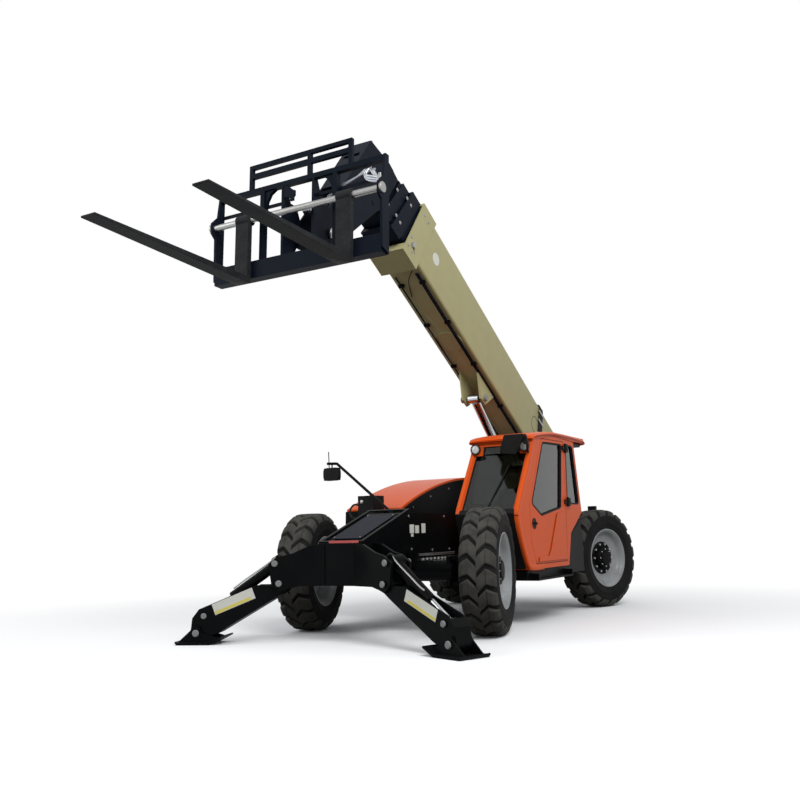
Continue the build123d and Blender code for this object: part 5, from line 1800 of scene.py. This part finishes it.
    def pad(self, name: str, corner: Basis, lean: float, size: Point) -> None:
        """A crowned cushion with sewn grooves, closed underneath.

        Formula: over its length u and width v from minus one to one, the half height is the power
        (1 - u^4)(1 - v^4) to one third, less one groove across its length and two along it.

        Args:
            name: the piece's name.
            corner: the middle of its near edge, underneath.
            lean: its turn from level, in radians.
            size: length, width and height.
        """
        length, width, height = size
        rows, columns = 33, 25
        u = np.sin(np.linspace(-math.pi / 2, math.pi / 2, rows))[:, None]
        v = np.sin(np.linspace(-math.pi / 2, math.pi / 2, columns))[None, :]
        crown = np.cbrt(np.clip((1 - u ** 4) * (1 - v ** 4), 0, 1))
        across = 0.16 * np.exp(-((u - 0.25) / 0.05) ** 2)
        lengthwise = 0.1 * np.exp(-((np.abs(v) - 0.62) / 0.05) ** 2)
        above, below = 0.62, 0.38
        top = crown * (1 - across - lengthwise) * height * above
        low = -crown * height * below
        a = (u * 0.5 + 0.5) * length + 0 * v
        c = v * 0.5 * width + 0 * u
        own = Basis((0, 0, 0), (math.cos(lean), math.sin(lean), 0),
                    (-math.sin(lean), math.cos(lean), 0), (0, 0, 1))
        layers = [own.at(np.stack([a, level + height * below, c], axis=-1)) for level in (top, low)]
        shape = grid(corner.at(layers[0])) + grid(corner.at(layers[1]))
        make(name, shape, FABRIC, self.body, smooth_angle=60)

    def front(self) -> None:
        """Wiper, round lamps and the cowl below the windscreen."""
        s = side_basis()
        ahead = Basis(s.origin, (0, -1, 0), (1, 0, 0), (0, 0, 1))
        for count, x in enumerate((self.inner + 0.07, self.outer - 0.07)):
            place = ahead.shifted(-1.087, x, 1.955)
            make(f"work_lamp_{count}", turned(self.lamp_bowl, place, 32), PLASTIC, self.body)
            make(f"work_lens_{count}", turned(self.lamp_lens, place, 32), LENS, self.body,
                 smooth_angle=50)
        for name, path, radius in (("wiper_arm", self.wiper_arm, 0.006),
                                   ("wiper_blade", self.wiper_blade, 0.007)):
            make(name, hose(path, radius, s), GASKET, self.body)
        make("cowl_panel", slab(self.cowl, self.inner + 0.02, self.outer - 0.02, s), PLASTIC,
             self.body, Edge.FINE)


# ---- engine side ----
@dataclass
class EngineSide:
    """Tub, hood, intake box, grille and mirror on the machine's right."""
    outer: float = -1.2
    hood_side: float = -1.21
    inner: float = -0.42
    body: str = "chassis"
    slat_count: int = 24
    slat_pitch: float = 0.045
    louvre_count: int = 7
    louvre_pitch: float = 0.032
    slat_frame: Pairs = ((1.36, 0.81), (2.47, 0.81), (2.47, 1.19), (1.36, 1.19))
    latches: Points = ((1.2, 1.345, -0.006), (2.6, 1.345, -0.006))
    panel_screws: Points = (
        (1.15, 1.33, 0), (1.6, 1.47, 0), (2.1, 1.58, 0), (2.6, 1.64, 0), (2.6, 1.3, 0))
    # from the air box's left, front and top edges
    intake: Points = (
        (0.01, 0.05, -0.11), (-0.07, 0.02, -0.1), (-0.11, 0.0, -0.17), (-0.08, 0.0, -0.25),
        (0.01, 0.04, -0.27))
    mirror_place: Point = (-1.36, 0.818, 1.7635)      # x, station, height
    mirror_shell: Pair = (0.118, 0.08)
    mirror_glass: Pair = (0.102, 0.066)
    marker: Points = ((0.808, 1.8, -1.395), (0.808, 1.92, -1.398), (0.808, 2.04, -1.402))

    def build(self) -> None:
        """Makes the pieces of the engine side."""
        recut("engine_cover", BLACK, Edge.CAST)
        recut("engine_hood", ORANGE, Edge.CAST)
        recut("air_box", PLASTIC, Edge.ROUND)
        recut("mirror_right", BLACK, Edge.FINE)
        self.grille()
        self.fittings()
        self.intake_side()
        self.mirror()

    def grille(self) -> None:
        """Slats in the tub's outer side and louvres in the hood's side."""
        s = side_basis(self.outer)
        slats = [(1.4 + self.slat_pitch * k, 1.0, -0.003) for k in range(self.slat_count)]
        make("tub_slats", blocks(slats, (0.022, 0.34, 0.006), s), PLASTIC, self.body, Edge.FINE)
        make("tub_slat_frame", band(self.slat_frame, 0.02, -0.008, 0.0, s), BLACK, self.body,
             Edge.FINE)
        rows = [(2.35, 1.36 + self.louvre_pitch * k, -0.003) for k in range(self.louvre_count)]
        make("hood_louvres", blocks(rows, (0.55, 0.016, 0.006), side_basis(self.hood_side)),
             PLASTIC, "hood", Edge.FINE)

    def fittings(self) -> None:
        """The hood's latches and the screws on the inner side panel."""
        latches = blocks(self.latches, (0.1, 0.05, 0.012), side_basis(self.hood_side))
        make("hood_latches", latches, PLASTIC, "hood", Edge.FINE)
        screws = studs(self.panel_screws, 0.013, 0.008, side_basis(self.inner))
        make("panel_screws", screws, ZINC, self.body)

    def intake_side(self) -> None:
        """The hose that loops from the air box's side, and the round bolt on its front."""
        low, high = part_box("air_box")
        corner = WORLD.shifted(low[0], low[1], high[2])
        make("intake_hose", hose(self.intake, 0.011, corner), HOSE, self.body)
        front = Basis((0, 0, 0), (1, 0, 0), (0, 0, 1), (0, -1, 0))
        bolt = studs((low[0] + 0.06, high[2] - 0.07, -low[1]), 0.022, 0.014, front, sides=16)
        make("air_box_bolt", bolt, ZINC, self.body)

    def mirror(self) -> None:
        """The mirror's shell, its glass that faces back and the marker rod above it."""
        s = side_basis()
        x, station, height = self.mirror_place
        head = s.shifted(station, height, x).crossways()
        for name, (a, b), radius, low, high, finish, edge in (
                ("shell", self.mirror_shell, 0.055, -0.03, 0.024, PLASTIC, Edge.CAST),
                ("glass", self.mirror_glass, 0.045, 0.0241, 0.0262, MIRROR, Edge.SHARP)):
            outline = rounded([(-a, -b), (a, -b), (a, b), (-a, b)], radius)
            make(f"mirror_right_{name}", slab(outline, low, high, head), finish, self.body, edge)
        make("marker_rod", hose(self.marker, 0.006, s), PLASTIC, self.body)


@dataclass
class Lamps:
    """Lamp housings and the lenses of the rear lamps."""
    rear: Point = (4.772, 1.328, 0.62)    # station, height, outward
    half_gap: float = 0.028
    size: Point = (0.006, 0.036, 0.046)

    def build(self) -> None:
        """Makes the rear lamps."""
        recut("lamps", PLASTIC, Edge.FINE)
        station, height, reach = self.rear
        for side, word in ((1, "left"), (-1, "right")):
            for count, (way, finish) in enumerate(((1, AMBER), (-1, RED))):
                centre = (station, height, side * reach + way * self.half_gap)
                lens = blocks(centre, self.size, side_basis())
                make(f"rear_lens_{count}_{word}", lens, finish, "chassis", Edge.FINE)


# ---- surroundings ----
@dataclass
class Studio:
    """Pale floor, white surroundings, soft light and the camera."""
    camera_place: Point = (4.873, -8.876, 1.04)
    azimuth: float = 30.1
    pitch: float = 8.448
    roll: float = -1.459
    lens: float = 39.99
    floor_radius: float = 60.0
    fade: Pair = (3.2, 7.5)       # the floor turns white between these distances
    floor_color: Color = (0.97, 0.97, 0.97, 1)
    bounce_color: Color = (0.22, 0.21, 0.2, 1)
    sky: Color = (0.93, 0.96, 1.0, 1)
    sky_strength: float = 0.62
    aim: Point = (0, 0, 1.4)
    # name, place, width and power of each lamp
    lamps: tuple = (("key", (7.5, -6.5, 9.0), 6.0, 950.0), ("fill", (-8.0, -7.5, 6.5), 7.0, 330.0))

    def build(self) -> None:
        """Makes floor, world, lamps and camera."""
        self.floor()
        self.world()
        self.lights()
        self.camera()

    def floor(self) -> None:
        """A disc whose colour fades to the white of the surroundings away from the machine.

        Formula: ring radius = floor radius * the square of equal steps from nought to one.
        """
        radius = np.linspace(0, 1, 24)[:, None, None] ** 2 * self.floor_radius
        rings = radius * np.column_stack([circle(1.0, 64), np.zeros(64)])
        mesh = mesh_of("floor", grid(rings, close_columns=True))
        floor = linked("floor", mesh)
        material = bpy.data.materials.new("pale floor")
        material.use_nodes = True
        material.node_tree.nodes.clear()
        w = Wiring(material.node_tree)
        away = w.add("ShaderNodeVectorMath", {0: w.place()}, operation="LENGTH").outputs[1]
        share = w.spread(away, *self.fade)
        bounces = w.add("ShaderNodeLightPath").outputs["Is Diffuse Ray"]
        shader = w.add("ShaderNodeBsdfPrincipled", {
            "Base Color": w.blend(bounces, self.floor_color, self.bounce_color),
            "Roughness": 0.9, "Specular IOR Level": 0.0})
        white = w.add("ShaderNodeEmission", {"Color": (1, 1, 1, 1), "Strength": 1.0})
        mix = w.add("ShaderNodeMixShader", {0: w.maths("MULTIPLY", share, w.seen()),
                                            1: shader.outputs[0], 2: white.outputs[0]})
        w.add("ShaderNodeOutputMaterial", {"Surface": mix.outputs[0]})
        mesh.materials.append(material)

    def world(self) -> None:
        """Soft grey-white light from all round, seen as pure white."""
        world = bpy.data.worlds.new("studio")
        world.use_nodes = True
        world.node_tree.nodes.clear()
        w = Wiring(world.node_tree)
        soft, white = (w.add("ShaderNodeBackground", {"Color": color, "Strength": strength})
                       for color, strength in ((self.sky, self.sky_strength), ((1, 1, 1, 1), 1.0)))
        mix = w.add("ShaderNodeMixShader", {0: w.seen(), 1: soft.outputs[0], 2: white.outputs[0]})
        w.add("ShaderNodeOutputWorld", {"Surface": mix.outputs[0]})
        bpy.context.scene.world = world

    def lights(self) -> None:
        """A large soft lamp high on the camera's right, and a weaker one from the front left."""
        for name, place, size, power in self.lamps:
            lamp = bpy.data.lights.new(name, "AREA")
            lamp.shape = "DISK"
            lamp.size = size
            lamp.energy = power
            way = np.array(self.aim) - place
            way /= np.linalg.norm(way)
            across = np.cross(way, (0, 0, 1.0))
            across /= np.linalg.norm(across)
            holder = linked(name, lamp)
            holder.location = place
            holder.rotation_euler = self.turn(across, np.cross(across, way), way).to_euler()

    @staticmethod
    def turn(across: Array, up: Array, way: Array) -> Matrix:
        """The turn of a lamp or camera that looks along a direction."""
        return Matrix(np.stack([across, up, -way], axis=1).tolist())

    def camera(self) -> None:
        """The camera at the machine's front left, close to the ground and tilted up a little."""
        az, pitch, roll = (math.radians(v) for v in (self.azimuth, self.pitch, self.roll))
        way = np.array([-math.sin(az) * math.cos(pitch), math.cos(az) * math.cos(pitch),
                        math.sin(pitch)])
        level = np.array([math.cos(az), math.sin(az), 0.0])
        rise = np.cross(level, way)
        right = math.cos(roll) * level + math.sin(roll) * rise
        up = -math.sin(roll) * level + math.cos(roll) * rise
        data = bpy.data.cameras.new("camera")
        data.lens = self.lens
        data.sensor_width = 36.0
        data.clip_end = 200.0
        camera = linked("camera", data)
        camera.matrix_world = (Matrix.Translation(self.camera_place)
                               @ self.turn(right, up, way).to_4x4())
        bpy.context.scene.camera = camera


WHEELS = (  # name, side, station, steer
    ("front_left", 1, 0.0, FRONT_STEER),
    ("front_right", -1, 0.0, FRONT_STEER),
    ("rear_left", 1, WHEELBASE, REAR_STEER),
    ("rear_right", -1, WHEELBASE, REAR_STEER),
)


def main() -> None:
    """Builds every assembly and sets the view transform."""
    logging.basicConfig(level=logging.INFO)
    for name, side, station, steer in WHEELS:
        Wheel(name, side, station, steer).build()
    for assembly in (Boom(), Cylinders(), Carriage(), Chassis(), Outrigger(1), Outrigger(-1), Cab(),
                     EngineSide(), Lamps(), Studio()):
        assembly.build()
        log.info("%s done", type(assembly).__name__)
    bpy.context.scene.view_settings.view_transform = "Standard"


if __name__ == "__main__":
    main()
